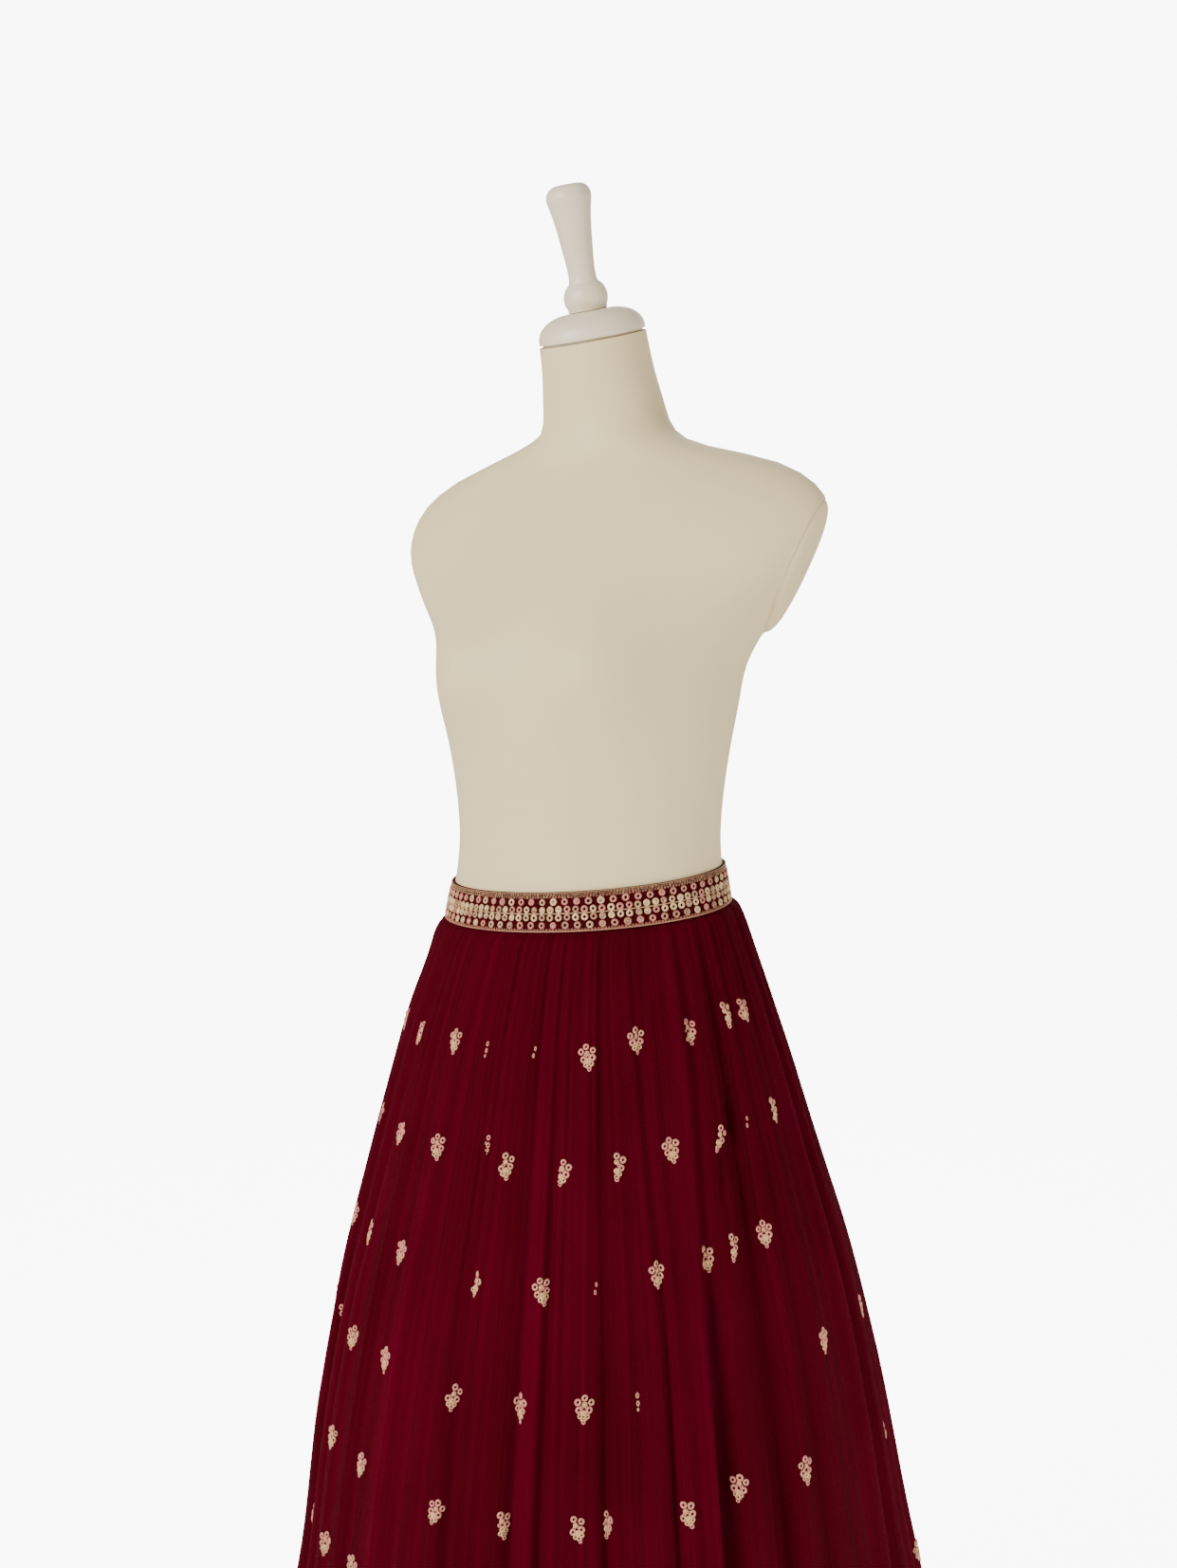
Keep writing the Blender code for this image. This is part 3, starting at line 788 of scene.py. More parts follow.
class SharedNodes:
    """Node groups that several finishes use."""

    def __init__(self) -> None:
        """Build each group once."""
        self.mottle = self._group("soft_mottle", "Value", {"Scale": 8.0, "Amount": 0.3}, self._mottle)
        self.weave = self._group("crepe_weave", "Height", {"Threads": 1500.0}, self._weave)
        self.grain = self._group("fine_grain", "Height", {"Scale": 600.0}, self._grain)

    @staticmethod
    def _group(name: str, output: str, values: dict[str, float],
               fill: Callable[..., Socket]) -> bpy.types.NodeTree:
        """Make a group that takes a vector and some values and puts out one value.

        Args:
            name: the group's name.
            output: the name of what it puts out.
            values: its inputs after the vector, with their usual values.
            fill: the function that fills it and returns its result.

        Returns:
            The group.
        """
        tree = bpy.data.node_groups.new(name, "ShaderNodeTree")
        tree.interface.new_socket("Vector", in_out="INPUT", socket_type="NodeSocketVector")
        for label, value in values.items():
            socket = tree.interface.new_socket(label, in_out="INPUT", socket_type="NodeSocketFloat")
            socket.default_value = value
        tree.interface.new_socket(output, in_out="OUTPUT", socket_type="NodeSocketFloat")
        graph = Graph(tree)
        given = graph.node("NodeGroupInput").outputs
        result = fill(graph, *(given[i] for i in range(len(values) + 1)))
        graph.node("NodeGroupOutput", None, {0: result})
        return tree

    @staticmethod
    def _mottle(graph: Graph, place: Socket, scale: Socket, amount: Socket) -> Socket:
        """Return slow, soft unevenness: a value about one half."""
        return graph.plus(graph.times(graph.minus(graph.noise(place, scale, 3.0), 0.5), amount), 0.5)

    @staticmethod
    def _weave(graph: Graph, place: Socket, threads: Socket) -> Socket:
        """Build a plain weave with unevenly twisted threads.

        Args:
            graph: the group's graph.
            place: a vector in metres.
            threads: threads to the metre.

        Returns:
            The height of the threads.
        """
        scaled = graph.node("ShaderNodeVectorMath", {"operation": "SCALE"},
                            {0: place, "Scale": threads}).outputs[0]
        wobble = graph.times(graph.noise(graph.stretch(scaled, (0.21, 0.21, 0.21)), 1.0), 1.6)
        parts = graph.node("ShaderNodeSeparateXYZ", None, {0: scaled}).outputs
        crossed = [graph.math("ABSOLUTE", graph.math("SINE", graph.times(
            graph.plus(parts[axis], wobble), math.pi))) for axis in (0, 1)]
        return graph.times(*crossed)

    @staticmethod
    def _grain(graph: Graph, place: Socket, scale: Socket) -> Socket:
        """Return fine grain in two sizes."""
        wide = graph.noise(place, graph.times(scale, 0.23), 1.0)
        return graph.plus(graph.noise(place, scale), graph.times(wide, 0.8))


@dataclass(frozen=True)
class Finish:
    """What every finish shares: a material whose Principled shader it feeds."""

    name: str

    def build(self, groups: SharedNodes) -> Material:
        """Make the material.

        Args:
            groups: the shared node groups.

        Returns:
            The material.
        """
        material = bpy.data.materials.new(self.name)
        material.use_nodes = True
        graph = Graph(material.node_tree)
        place = graph.node("ShaderNodeTexCoord").outputs["Object"]
        shader = material.node_tree.nodes["Principled BSDF"]
        for socket, value in self.sockets(graph, groups, place).items():
            graph.feed(shader.inputs[socket], value)
        return material

    def sockets(self, graph: Graph, groups: SharedNodes, place: Socket) -> dict[str, object]:
        """Say what goes into the shader, which each finish does its own way.

        Args:
            graph: the material's graph.
            groups: the shared node groups.
            place: where a point lies on its object.

        Returns:
            A value or a socket for each of the shader's inputs that the finish sets.
        """
        raise NotImplementedError


@dataclass(frozen=True)
class Georgette(Finish):
    """Matte crepe cloth: two close tones, fine crinkles down its length and a woven grain; the crinkles'
    ridges take the lighter tone and their troughs the darker, as painted light and painted shade.
    """

    light: Colour
    dark: Colour
    roughness: float
    crinkle: float

    STREAKS = ((40.0, 1.2, 0.50), (115.0, 2.2, 0.40), (300.0, 4.0, 0.10))

    def sockets(self, graph: Graph, groups: SharedNodes, place: Socket) -> dict[str, object]:
        """Mix the tones by mottle, streaks and weave, on the cloth's own map in metres; the streaks that
        raise the crinkles also paint light on their ridges and shade in their troughs.
        """
        cloth = graph.node("ShaderNodeUVMap", {"uv_map": "cloth"}).outputs[0]
        tone = graph.shared(groups.mottle, Vector=place, Scale=9.0, Amount=0.9)
        broad, middle, narrow = (
            graph.times(graph.noise(graph.stretch(cloth, (across, down, 1.0)), 1.0), weight)
            for across, down, weight in self.STREAKS)
        # the same streaks are both the crinkles' height and their painted light and shade
        crinkle_and_painted_shade = graph.plus(graph.plus(broad, middle), narrow)
        weave = graph.shared(groups.weave, Vector=cloth, Threads=1500.0)
        # painted light and shade: higher crinkles get the lighter tone, lower crinkles the darker
        share = graph.plus(graph.times(tone, 0.8), graph.times(graph.minus(crinkle_and_painted_shade, 0.5), 2.2))
        share = graph.plus(share, graph.times(weave, 0.15))
        crinkled = graph.bump(crinkle_and_painted_shade, self.crinkle, 1.0)
        return {"Base Color": graph.mix(share, self.dark, self.light),
                "Normal": graph.bump(weave, 0.00018, 0.6, Normal=crinkled),
                "Roughness": self.roughness, "Specular IOR Level": 0.02}


@dataclass(frozen=True)
class MetalThread(Finish):
    """Wound metallic thread: pink, dull old gold or pale gold, different from loop to loop."""

    pink: Colour
    dull: Colour
    gold: Colour
    metallic: float
    roughness: float

    def sockets(self, graph: Graph, groups: SharedNodes, place: Socket) -> dict[str, object]:
        """Mix the colours by each loop's tone, which the mesh holds, and darken worn spots."""
        tone = graph.node("ShaderNodeAttribute", {"attribute_name": "tone"}).outputs["Fac"]
        grain = graph.shared(groups.grain, Vector=place, Scale=2600.0)
        doubled = graph.times(tone, 2.0)
        duller = graph.mix(doubled, self.pink, self.dull)
        colour = graph.mix(graph.minus(doubled, 1.0), duller, self.gold)
        worn = graph.times(graph.minus(grain, 0.6), 0.9)
        darker = tuple(0.62 * part for part in self.pink)
        return {"Base Color": graph.mix(worn, colour, darker), "Normal": graph.bump(grain, 0.00025, 0.7),
                "Metallic": self.metallic, "Roughness": self.roughness}


@dataclass(frozen=True)
class Jersey(Finish):
    """Smooth knit stretched over the form."""

    light: Colour
    dark: Colour
    roughness: float

    def sockets(self, graph: Graph, groups: SharedNodes, place: Socket) -> dict[str, object]:
        """Add slow mottling and a fine knit."""
        tone = graph.shared(groups.mottle, Vector=place, Scale=7.0, Amount=1.1)
        grain = graph.shared(groups.grain, Vector=place, Scale=900.0)
        share = graph.plus(tone, graph.times(graph.minus(grain, 0.9), 0.12))
        return {"Base Color": graph.mix(share, self.dark, self.light),
                "Normal": graph.bump(grain, 0.00010, 0.4), "Roughness": self.roughness,
                "Sheen Weight": 0.12}


@dataclass(frozen=True)
class SatinPaint(Finish):
    """Satin paint on turned wood or metal, a little uneven from the brush."""

    colour: Colour
    shade: Colour
    roughness: float
    coat: float

    def sockets(self, graph: Graph, groups: SharedNodes, place: Socket) -> dict[str, object]:
        """Add brush unevenness in colour and gloss."""
        tone = graph.shared(groups.mottle, Vector=place, Scale=22.0, Amount=0.9)
        grain = graph.shared(groups.grain, Vector=place, Scale=260.0)
        gloss = graph.times(graph.minus(tone, 0.5), 0.16)
        return {"Base Color": graph.mix(tone, self.shade, self.colour),
                "Roughness": graph.plus(gloss, self.roughness), "Normal": graph.bump(grain, 0.00012, 0.5),
                "Coat Weight": self.coat, "Coat Roughness": 0.25}


def dress(item: Item, material: Material, slot: Slot, *nodes: str) -> None:
    """Dress a finished piece, tie it to the frame and report it.

    Args:
        item: the piece.
        material: its finish.
        slot: not used.
        nodes: the solids that it stands for.
    """
    item.data.materials.clear()
    item.data.materials.append(material)
    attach(item, BODY)
    if nodes:
        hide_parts(*nodes)
    LOG.info("%s: %d faces", item.name, len(item.data.polygons))


@dataclass
class DressForm:
    """The limbless form: its body, the plates on its cut arms, its neck cap and handle."""

    shape: FormShape
    columns: int = 112
    row_step: float = 0.0095
    arm_cut: tuple[float, float, float] = (0.195, 0.030, 1.351)
    arm_cut_bottom: float = 1.234
    arm_cut_down: float = math.radians(25.0)
    arm_cut_back: float = math.radians(20.0)
    neck_cut: tuple[float, float, float] = (0.0, 0.0070, 1.512)
    neck_cut_bottom: float = 1.45
    neck_lean: float = math.radians(19.0)
    gap: float = 0.0003
    cap_radius: float = 0.0458
    cap_crown: float = 0.0228
    cap_crown_radius: float = 0.0165
    cap_edge: float = 0.0038
    cap_groove: float = 0.0016
    handle_height: float = 0.1005

    PLATE_STEPS = ((0.988, 0.0009), (0.974, 0.0003), (0.968, -0.0009), (0.962, 0.0012), (0.935, 0.0024),
                   (0.89, 0.0020), (0.82, 0.0018), (0.72, 0.0015), (0.58, 0.0011), (0.40, 0.0006),
                   (0.22, 0.0003), (0.08, 0.0001))
    SEAT_STEPS = ((0.975, 0.0), (0.960375, -0.0012), (0.4801875, 0.0))

    def body(self) -> Item:
        """Model the body: a tube with its rows moved onto the form's sections, then cut flat."""
        bottom, top = self.shape.bottom, self.shape.top
        rows = round((top - bottom) / self.row_step) + 1
        item = Bench.turned("form_body", [(1.0, float(row)) for row in range(rows)], self.columns)
        points = np.empty(len(item.data.vertices) * 3, np.float32)
        item.data.vertices.foreach_get("co", points)
        x, y, row = points.reshape(-1, 3).astype(float).T
        placed = self.shape.body(np.degrees(np.arctan2(x, -y)), bottom + (top - bottom) * (row / (rows - 1)))
        item.data.vertices.foreach_set("co", placed.astype(np.float32).ravel())
        item.data.update()
        for side in (1, -1):
            self._cut_arm(item, side)
        self._cut_neck(item)
        Bench.smooth(item, 32.0)
        return item

    def _cut_arm(self, item: Item, side: int) -> None:
        """Cut one arm off flat and close the cut with a slightly domed plate."""
        level = math.cos(self.arm_cut_down)
        normal = Vector((side * level * math.cos(self.arm_cut_back),
                         level * math.sin(self.arm_cut_back), -math.sin(self.arm_cut_down)))
        x, y, z = self.arm_cut
        self._cut_flat(item, Vector((side * x, y, z)), normal, self.arm_cut_bottom, self.PLATE_STEPS)

    def _cut_neck(self, item: Item) -> None:
        """Cut the neck off flat and sink a shallow seat for the cap."""
        normal = Vector((0.0, -math.sin(self.neck_lean), math.cos(self.neck_lean)))
        self._cut_flat(item, Vector(self.neck_cut), normal, self.neck_cut_bottom, self.SEAT_STEPS)

    @staticmethod
    def _cut_flat(item: Item, centre: Vector, normal: Vector, bottom: float,
                  steps: Sequence[tuple[float, float]]) -> None:
        """Cut what lies above a level along a plane and close it with a stepped plate.

        Args:
            item: the body.
            centre: a point of the plane.
            normal: the plane's direction, out of what is kept.
            bottom: the level above which the cut works.
            steps: each step's size as a share of the cut, and its rise over the step before.
        """
        Bench.pick(item)
        bpy.ops.object.mode_set(mode="EDIT")
        Bench.pick_faces(item, lambda face: min(corner.co.z for corner in face.verts) > bottom)
        bpy.ops.mesh.bisect(plane_co=centre, plane_no=normal, use_fill=True, clear_outer=True,
                            threshold=1e-6)
        Bench.pick_faces(item, lambda face: len(face.verts) > 6 and face.normal.dot(normal) > 0.99
                         and abs((face.calc_center_median() - centre).dot(normal)) < 1e-4)
        mesh = bmesh.from_edit_mesh(item.data)
        middle = next(face for face in mesh.faces if face.select).calc_center_median_weighted()
        size = 1.0
        for next_size, rise in steps:
            middle = middle + normal * rise
            bpy.ops.mesh.extrude_region_move(TRANSFORM_OT_translate={"value": normal * rise})
            bpy.ops.transform.resize(value=(next_size / size,) * 3, center_override=middle)
            size = next_size
        Bench.close_up()

    def _on_neck(self, item: Item, height: float) -> Item:
        """Stand a turned piece on the cut neck, leaning with it."""
        lean = Matrix.Rotation(self.neck_lean, 4, "X") @ Matrix.Translation((0.0, 0.0, height))
        item.matrix_world = Matrix.Translation(self.neck_cut) @ lean @ item.matrix_world
        Bench.settle(item)
        Bench.smooth(item)
        return item

    def cap(self) -> Item:
        """Model the domed cap, with the groove that shadows its lower edge."""
        foot, crown, edge = self.cap_radius - 0.0028, self.cap_crown_radius, self.cap_edge
        profile = [(foot, 0.0), (foot, self.cap_groove), (self.cap_radius - 0.0003, self.cap_groove + 0.0002)]
        profile += [(crown + (self.cap_radius - crown) * math.cos(turn) ** 0.9,
                     edge + (self.cap_crown - edge) * math.sin(turn))
                    for turn in np.radians(np.linspace(0.0, 90.0, 19))]
        return self._on_neck(Bench.turned("form_neck_cap", profile, 96), self.gap)

    def handle(self) -> Item:
        """Model the turned handle: a bead at its foot and a grip that widens to a round top."""
        profile = [(0.0160, 0.0), (0.0165, 0.0004)]
        profile += arc((0.0040, 0.0105), 0.0148, -30.0, 50.0, 14)
        profile += [(0.0126, 0.0226), (0.0123, 0.0234), (0.0121, 0.0246)]
        grip = Curve((0.0246, 0.0330, 0.0500, 0.0730, 0.0886), (0.0119, 0.0116, 0.0131, 0.0157, 0.0189))
        profile += [(float(grip(z)), float(z)) for z in np.linspace(0.0254, 0.0880, 20)]
        profile += arc((0.0090, 0.0903), 0.0100, -8.0, 90.0, 12)
        profile += [(0.004, self.handle_height - 0.0001)]
        return self._on_neck(Bench.turned("form_neck_handle", profile, 64), self.cap_crown + 2 * self.gap)

    def build(self, jersey: Material, paint: Material) -> None:
        """Make the pieces, dress them and tie them to the frame."""
        dress(self.body(), jersey, Slot.FORM, "form_torso")
        dress(self.cap(), paint, Slot.TRIM, "neck_cap")
        dress(self.handle(), paint, Slot.TRIM, "neck_handle")


@dataclass
class Stand:
    """The pole under the form, the collar that holds it and the round base."""

    top: float
    base_radius: float = 0.150
    base_thick: float = 0.014
    base_foot_round: float = 0.003
    base_edge: float = 0.006
    collar_radius: float = 0.030
    collar_foot: float = 0.008
    collar_top: float = 0.060
    collar_round: float = 0.003
    pole_radius: float = 0.016
    flange_radius: float = 0.045
    flange_thick: float = 0.006
    chamfer: float = 0.001
    gap: float = 0.0003

    def base(self) -> Item:
        """Model the round base with its rounded edge."""
        radius, thick, foot, edge = self.base_radius, self.base_thick, self.base_foot_round, self.base_edge
        profile = [(radius - foot, 0.0), *arc((radius - foot, foot), foot, -70.0, 0.0, 5)]
        profile += arc((radius - edge, thick - edge), edge, 0.0, 90.0, 9)
        profile += [(0.4 * radius, thick), (0.020, thick)]
        return Bench.turned("stand_foot_plate", profile, 144)

    def collar(self) -> Item:
        """Model the collar: a spread foot, a straight neck and the bore for the pole."""
        foot, top, rounded = self.base_thick + self.gap, self.collar_top, self.collar_round
        wide, bore = self.collar_radius + self.collar_foot, self.pole_radius + self.gap
        profile = [(wide - 0.0006, foot), (wide, foot + 0.0006), (wide, foot + 0.0024)]
        profile += arc((wide, foot + 0.0104), self.collar_foot, 268.0, 182.0, 8)
        profile += [(self.collar_radius, top - rounded)]
        profile += arc((self.collar_radius - rounded, top - rounded), rounded, 10.0, 90.0, 6)
        profile += [(bore + self.chamfer, top), (bore, top - self.chamfer), (bore, foot + 0.002)]
        return Bench.turned("stand_collar_sleeve", profile, 72)

    def pole(self) -> Item:
        """Model the pole with the flange that carries the form."""
        radius, under, wide = self.pole_radius, self.top - self.flange_thick, self.flange_radius
        profile = [(radius, self.base_thick + self.gap + 0.0023)]
        profile += [(radius, level) for level in np.linspace(self.collar_top, under - 0.014, 12)]
        profile += arc((radius + 0.012, under - 0.013), 0.012, 180.0, 92.0, 8)
        profile += [(wide - self.chamfer, under), (wide, under + self.chamfer),
                    (wide, self.top - self.chamfer), (wide - self.chamfer, self.top)]
        return Bench.turned("stand_upright", profile, 64)

    def build(self, paint: Material) -> None:
        """Make the pieces, dress them and tie them to the frame."""
        for item, node in ((self.base(), "stand_base"), (self.collar(), "stand_collar"),
                           (self.pole(), "stand_pole")):
            Bench.settle(item)
            Bench.smooth(item)
            dress(item, paint, Slot.STAND, node)


@dataclass
class Skirt:
    """The front and back panels, gathered at the band and open at the hem."""

    shape: SkirtShape
    per_fold: int = 15
    thickness: float = 0.0009
    top_gap: float = 0.0002
    hem_width: float = 0.010
    hem_rise: float = 0.0004
    seam_lap: float = 0.0001

    CUT_TOP = 0.75
    CUT_HEM = {Panel.FRONT: 1.31, Panel.BACK: 1.42}
    CUT_LENGTH = {Panel.FRONT: 1.03, Panel.BACK: 1.05}

    def drops(self) -> Array:
        """List the drops of the rows, close together under the band."""
        length = self.shape.length
        return np.concatenate((self.top_gap + np.array([0.0, 0.0006, 0.0014, 0.0024, 0.0036, 0.0050]),
                               np.arange(0.007, 0.038, 0.0033),
                               np.linspace(0.041, length - self.hem_width - 0.002, 90),
                               length - self.hem_width * np.array([1.0, 0.9, 0.4, 0.0])))

    def grid(self, panel: Panel) -> ClothGrid:
        """Find the points of one panel, its seams just lapped and its hem turned up."""
        seam, end = self.shape.left_seam, len(self.shape.valleys) - 1
        first, last, lap = (0, seam, 1) if panel is Panel.FRONT else (seam, end, -1)
        cloth = self.shape.panel(first, last, self.per_fold, self.drops())
        cloth.points[:, (0, -1), 1] = lap * self.seam_lap / 2
        turned = cloth.drops > self.shape.length - self.hem_width * 0.95
        cloth.points[turned] += cloth.normals[turned] * self.hem_rise
        return cloth

    def panel(self, panel: Panel, cloth: ClothGrid) -> Item:
        """Make one panel as a thin closed wall with a map of the cloth in metres.

        Args:
            panel: which panel it is.
            cloth: its points.

        Returns:
            The panel.
        """
        rows, columns = cloth.points.shape[:2]
        item = Bench.sheet(f"lehenga_{panel.value}", cloth.points.reshape(-1, 3),
                           grid_faces(rows, columns).tolist())
        Bench.add_map(item, *np.meshgrid(np.linspace(0.0, cloth.run[-1, -1], columns), -cloth.drops))
        wall = item.modifiers.new("wall", "SOLIDIFY")
        wall.thickness, wall.offset = self.thickness, -1.0
        Bench.pick(item)
        bpy.ops.object.modifier_apply(modifier="wall")
        Bench.smooth(item, 70.0)
        return item

    def build(self, buttis: Buttis, georgette: Material, thread: Material) -> None:
        """Make both panels with their flowers and say how the cloth was cut.

        Args:
            buttis: the flowers.
            georgette: the cloth's material.
            thread: the thread's material.
        """
        for panel in Panel:
            cloth = self.grid(panel)
            item, flowers = self.panel(panel, cloth), buttis.build(panel, cloth)
            dress(item, georgette, Slot.CLOTH, panel.value)
            dress(flowers, thread, Slot.BAND)
            LOG.info("%s: %.3f m at the band, %.3f m at the hem", panel.value, cloth.run[0, -1],
                     cloth.run[-1, -1])


class Loops:
    """Small loops and beads, each modelled once and copied many times."""

    def __init__(self) -> None:
        """Model the small shapes."""
        self.ring = self._ring(12, 5, 0.48)
        self.small_ring = self._ring(7, 3, 0.40)
        self.petal = self._ring(8, 4, 0.52)
        self.bead = self._bead()

    @classmethod
    def _ring(cls, around: int, section: int, thick: float) -> Shape:
        """Model a loop of thread of unit radius, lying flat."""
        Bench.pick()
        bpy.ops.mesh.primitive_torus_add(major_segments=around, minor_segments=section,
                                         major_radius=1.0, minor_radius=thick)
        return cls._take(bpy.context.object)

    @classmethod
    def _bead(cls) -> Shape:
        """Model a bead of unit radius, a little flat."""
        Bench.pick()
        bpy.ops.mesh.primitive_uv_sphere_add(segments=6, ring_count=4, radius=1.0)
        item = bpy.context.object
        item.scale = (1.0, 1.0, 0.75)
        Bench.settle(item)
        return cls._take(item)

    @staticmethod
    def _take(item: Item) -> Shape:
        """Read a shape's points and faces and remove its object."""
        points = np.array([tuple(vertex.co) for vertex in item.data.vertices])
        faces = [tuple(face.vertices) for face in item.data.polygons]
        bpy.data.objects.remove(item, do_unlink=True)
        return points, faces


class Trim:
    """Gathers copies of small shapes into one mesh, with a tone for each copy."""

    def __init__(self, seed: int) -> None:
        """Start empty, with a seeded source of small differences."""
        self.chance = np.random.default_rng(seed)
        self.points: list[Array] = []
        self.faces: list[tuple[int, ...]] = []
        self.tones: list[Array] = []
        self.count = 0

    def add(self, points: Array, faces: Sequence[tuple[int, ...]], tone: float) -> None:
        """Add one copy.

        Args:
            points: its points, in place.
            faces: its faces, counted from its own first point.
            tone: its share of gold against pink, kept between 0 and 1.
        """
        self.points.append(points)
        self.faces.extend(tuple(corner + self.count for corner in face) for face in faces)
        self.tones.append(np.full(len(points), min(max(tone, 0.0), 1.0)))
        self.count += len(points)

    def make(self, name: str) -> Item:
        """Turn what was gathered into one object."""
        item = Bench.sheet(name, np.concatenate(self.points), self.faces)
        tone = item.data.attributes.new("tone", "FLOAT", "POINT")
        tone.data.foreach_set("value", np.concatenate(self.tones).astype(np.float32))
        item.data.shade_smooth()
        return item


@dataclass(frozen=True)
class Stitch:
    """One loop or bead of a motif: its place and radius in millimetres, its tone and its rise."""

    across: float
    up: float
    radius: float
    tone: float
    rise: float = 0.0003


@dataclass
class Buttis:
    """The small flowers sewn over the skirt, each a ring of petals over a tapering tail."""

    loops: Loops
    first_drop: float = 0.084
    row_pitch: float = 0.0815
    rows: int = 11
    pitch: float = 0.057
    bare_from: float = -11.0
    bare_to: float = 122.0
    clear_of_seam: float = 2.0
    jitter: float = 0.0035
    half_width: float = 5.5

    PETALS = ((0.0, 8.4), (-5.0, 5.2), (5.0, 5.2), (-3.8, -0.5), (3.8, -0.5))
    MOTIF = [Stitch(across, up, 1.80, 0.10) for across, up in PETALS] + [Stitch(*row) for row in (
        (0.0, 3.8, 1.35, 0.50, 0.0006), (-1.9, 1.6, 0.95, 0.30), (1.9, 1.6, 0.95, 0.30),
        (0.0, -2.2, 1.50, 1.00, 0.0006), (-2.6, -4.6, 1.25, 0.75), (2.6, -4.6, 1.25, 0.85),
        (0.0, -6.3, 1.20, 0.55, 0.0005), (0.2, -8.7, 1.10, -0.20))]
    BEADS = [Stitch(*row) for row in (
        (0.0, 3.8, 0.9, 0.8, 0.0008), (0.0, -2.2, 1.0, 1.0, 0.0009), (-1.3, -4.0, 0.65, 0.9, 0.0008),
        (1.3, -4.0, 0.65, 0.9, 0.0008), (-1.7, -6.9, 0.65, 0.3, 0.0005), (1.9, -6.9, 0.65, 0.3, 0.0005))]
    SHOWN = (
        ((-3, 87, 0.3), (12, 88, 0.2), (29, 91, 1), (43, 82, 1), (60, 82, 0.8), (74, 76, 0.6), (82, 77, 0.9)),
        ((2, 156, 0.4), (9, 169, 0.9), (23, 172, 0.7), (36, 169, 0.6), (50, 163, 1), (63, 161, 0.5),
         (72, 158, 0.2), (84, 155, 0.8)),
        ((5, 255, 0.8), (20, 255, 1), (30, 255, 0.2), (44, 247, 1), (56, 244, 0.9), (62, 238, 0.5),
         (72, 237, 1), (97, 244, 0.2)),
        ((3, 336, 0.9), (17, 336, 1), (29, 334, 1), (38, 331, 0.3), (83, 326, 1), (108, 340, 1)),
        ((2, 418, 1), (15, 417, 0.8), (28, 415, 0.9), (33, 415, 0.7), (47, 410, 0.9), (57, 400, 1),
         (72, 405, 1), (105, 437, 1)),
        ((5, 497, 0.9), (20, 496, 1), (36, 494, 0.9), (51, 492, 1), (66, 490, 0.8), (98, 533, 1)),
    )

    def places(self, row: int, cloth: ClothGrid, panel: Panel,
               chance: np.random.Generator) -> list[tuple[float, float, float]]:
        """List the places of one row's flowers on a panel: those in SHOWN, and even ones beside them.

        Args:
            row: the row, counted from the band.
            cloth: the panel's points.
            panel: which panel it is.
            chance: the source of small differences.

        Returns:
            Angle in degrees, drop in metres and the share that a fold leaves in sight, for each flower.
        """
        drop = self.first_drop + self.row_pitch * row
        level = int(np.argmin(abs(cloth.drops - drop)))
        run, angles = cloth.run[level], cloth.angles[level]
        count = max(1, round(run[-1] / self.pitch))
        spots = (np.arange(count) + (0.25 if row % 2 else 0.75)) / count * run[-1]
        spots += chance.uniform(-self.jitter, self.jitter, count)
        even = [(float(a), drop + chance.uniform(-0.003, 0.003), 1.0) for a in np.interp(spots, run, angles)]
        if row >= len(self.SHOWN):
            return even
        low = (-90.0 if panel is Panel.FRONT else 90.0) + self.clear_of_seam
        high = low + 180.0 - 2 * self.clear_of_seam
        kept = [place for place in even if not self.bare_from < place[0] < self.bare_to]
        return kept + [(angle, below * MILLIMETRE, share) for angle, below, share in self.SHOWN[row]
                       if low < angle < high]

    def build(self, panel: Panel, cloth: ClothGrid) -> Item:
        """Sew all the flowers of one panel onto it."""
        trim = Trim(41 if panel is Panel.FRONT else 42)
        for row in range(self.rows):
            for place in self.places(row, cloth, panel, trim.chance):
                self._sew_one(trim, cloth, *place)
        return trim.make(f"{panel.value}_buttis")

    def _sew_one(self, trim: Trim, cloth: ClothGrid, angle: float, drop: float, share: float) -> None:
        """Sew the part of one flower that its fold leaves in sight, with loops of uneven size.

        Args:
            trim: what gathers the copies.
            cloth: the panel's points.
            angle: where the flower goes round the body, in degrees.
            drop: how far below the band it goes.
            share: the share of it in sight.
        """
        turn = trim.chance.normal(0.0, 0.16)
        size = trim.chance.uniform(0.90, 0.99)
        cos, sin = math.cos(turn) * size, math.sin(turn) * size
        warmth = trim.chance.uniform(-0.15, 0.25)
        hidden = self.half_width * (1.0 - 2.0 * share)
        slim, small = min(1.0, 0.3 + 1.2 * share), min(1.0, 0.5 + share)
        for stitches, (points, faces) in ((self.MOTIF, self.loops.petal), (self.BEADS, self.loops.bead)):
            for stitch in stitches:
                if stitch.across < hidden:
                    continue
                across = stitch.across + trim.chance.uniform(-0.25, 0.25)
                up = stitch.up + trim.chance.uniform(-0.25, 0.25)
                radius = stitch.radius * small * trim.chance.uniform(0.92, 1.08)
                flat = points * radius * MILLIMETRE
                flat[:, 0] *= slim
                flat += ((across * cos - up * sin) * MILLIMETRE, (across * sin + up * cos) * MILLIMETRE,
                         stitch.rise)
                tone = stitch.tone + warmth + trim.chance.uniform(-0.2, 0.2)
                trim.add(cloth.sew(flat, angle, drop), faces, tone)


@dataclass(frozen=True)
class BandRow:
    """One row of loops round the band, in millimetres under its top edge."""

    below: float
    units: int
    radius: float
    rise: float
    tones: tuple[float, ...]
    bead: float = 0.0
    bead_share: float = 0.0


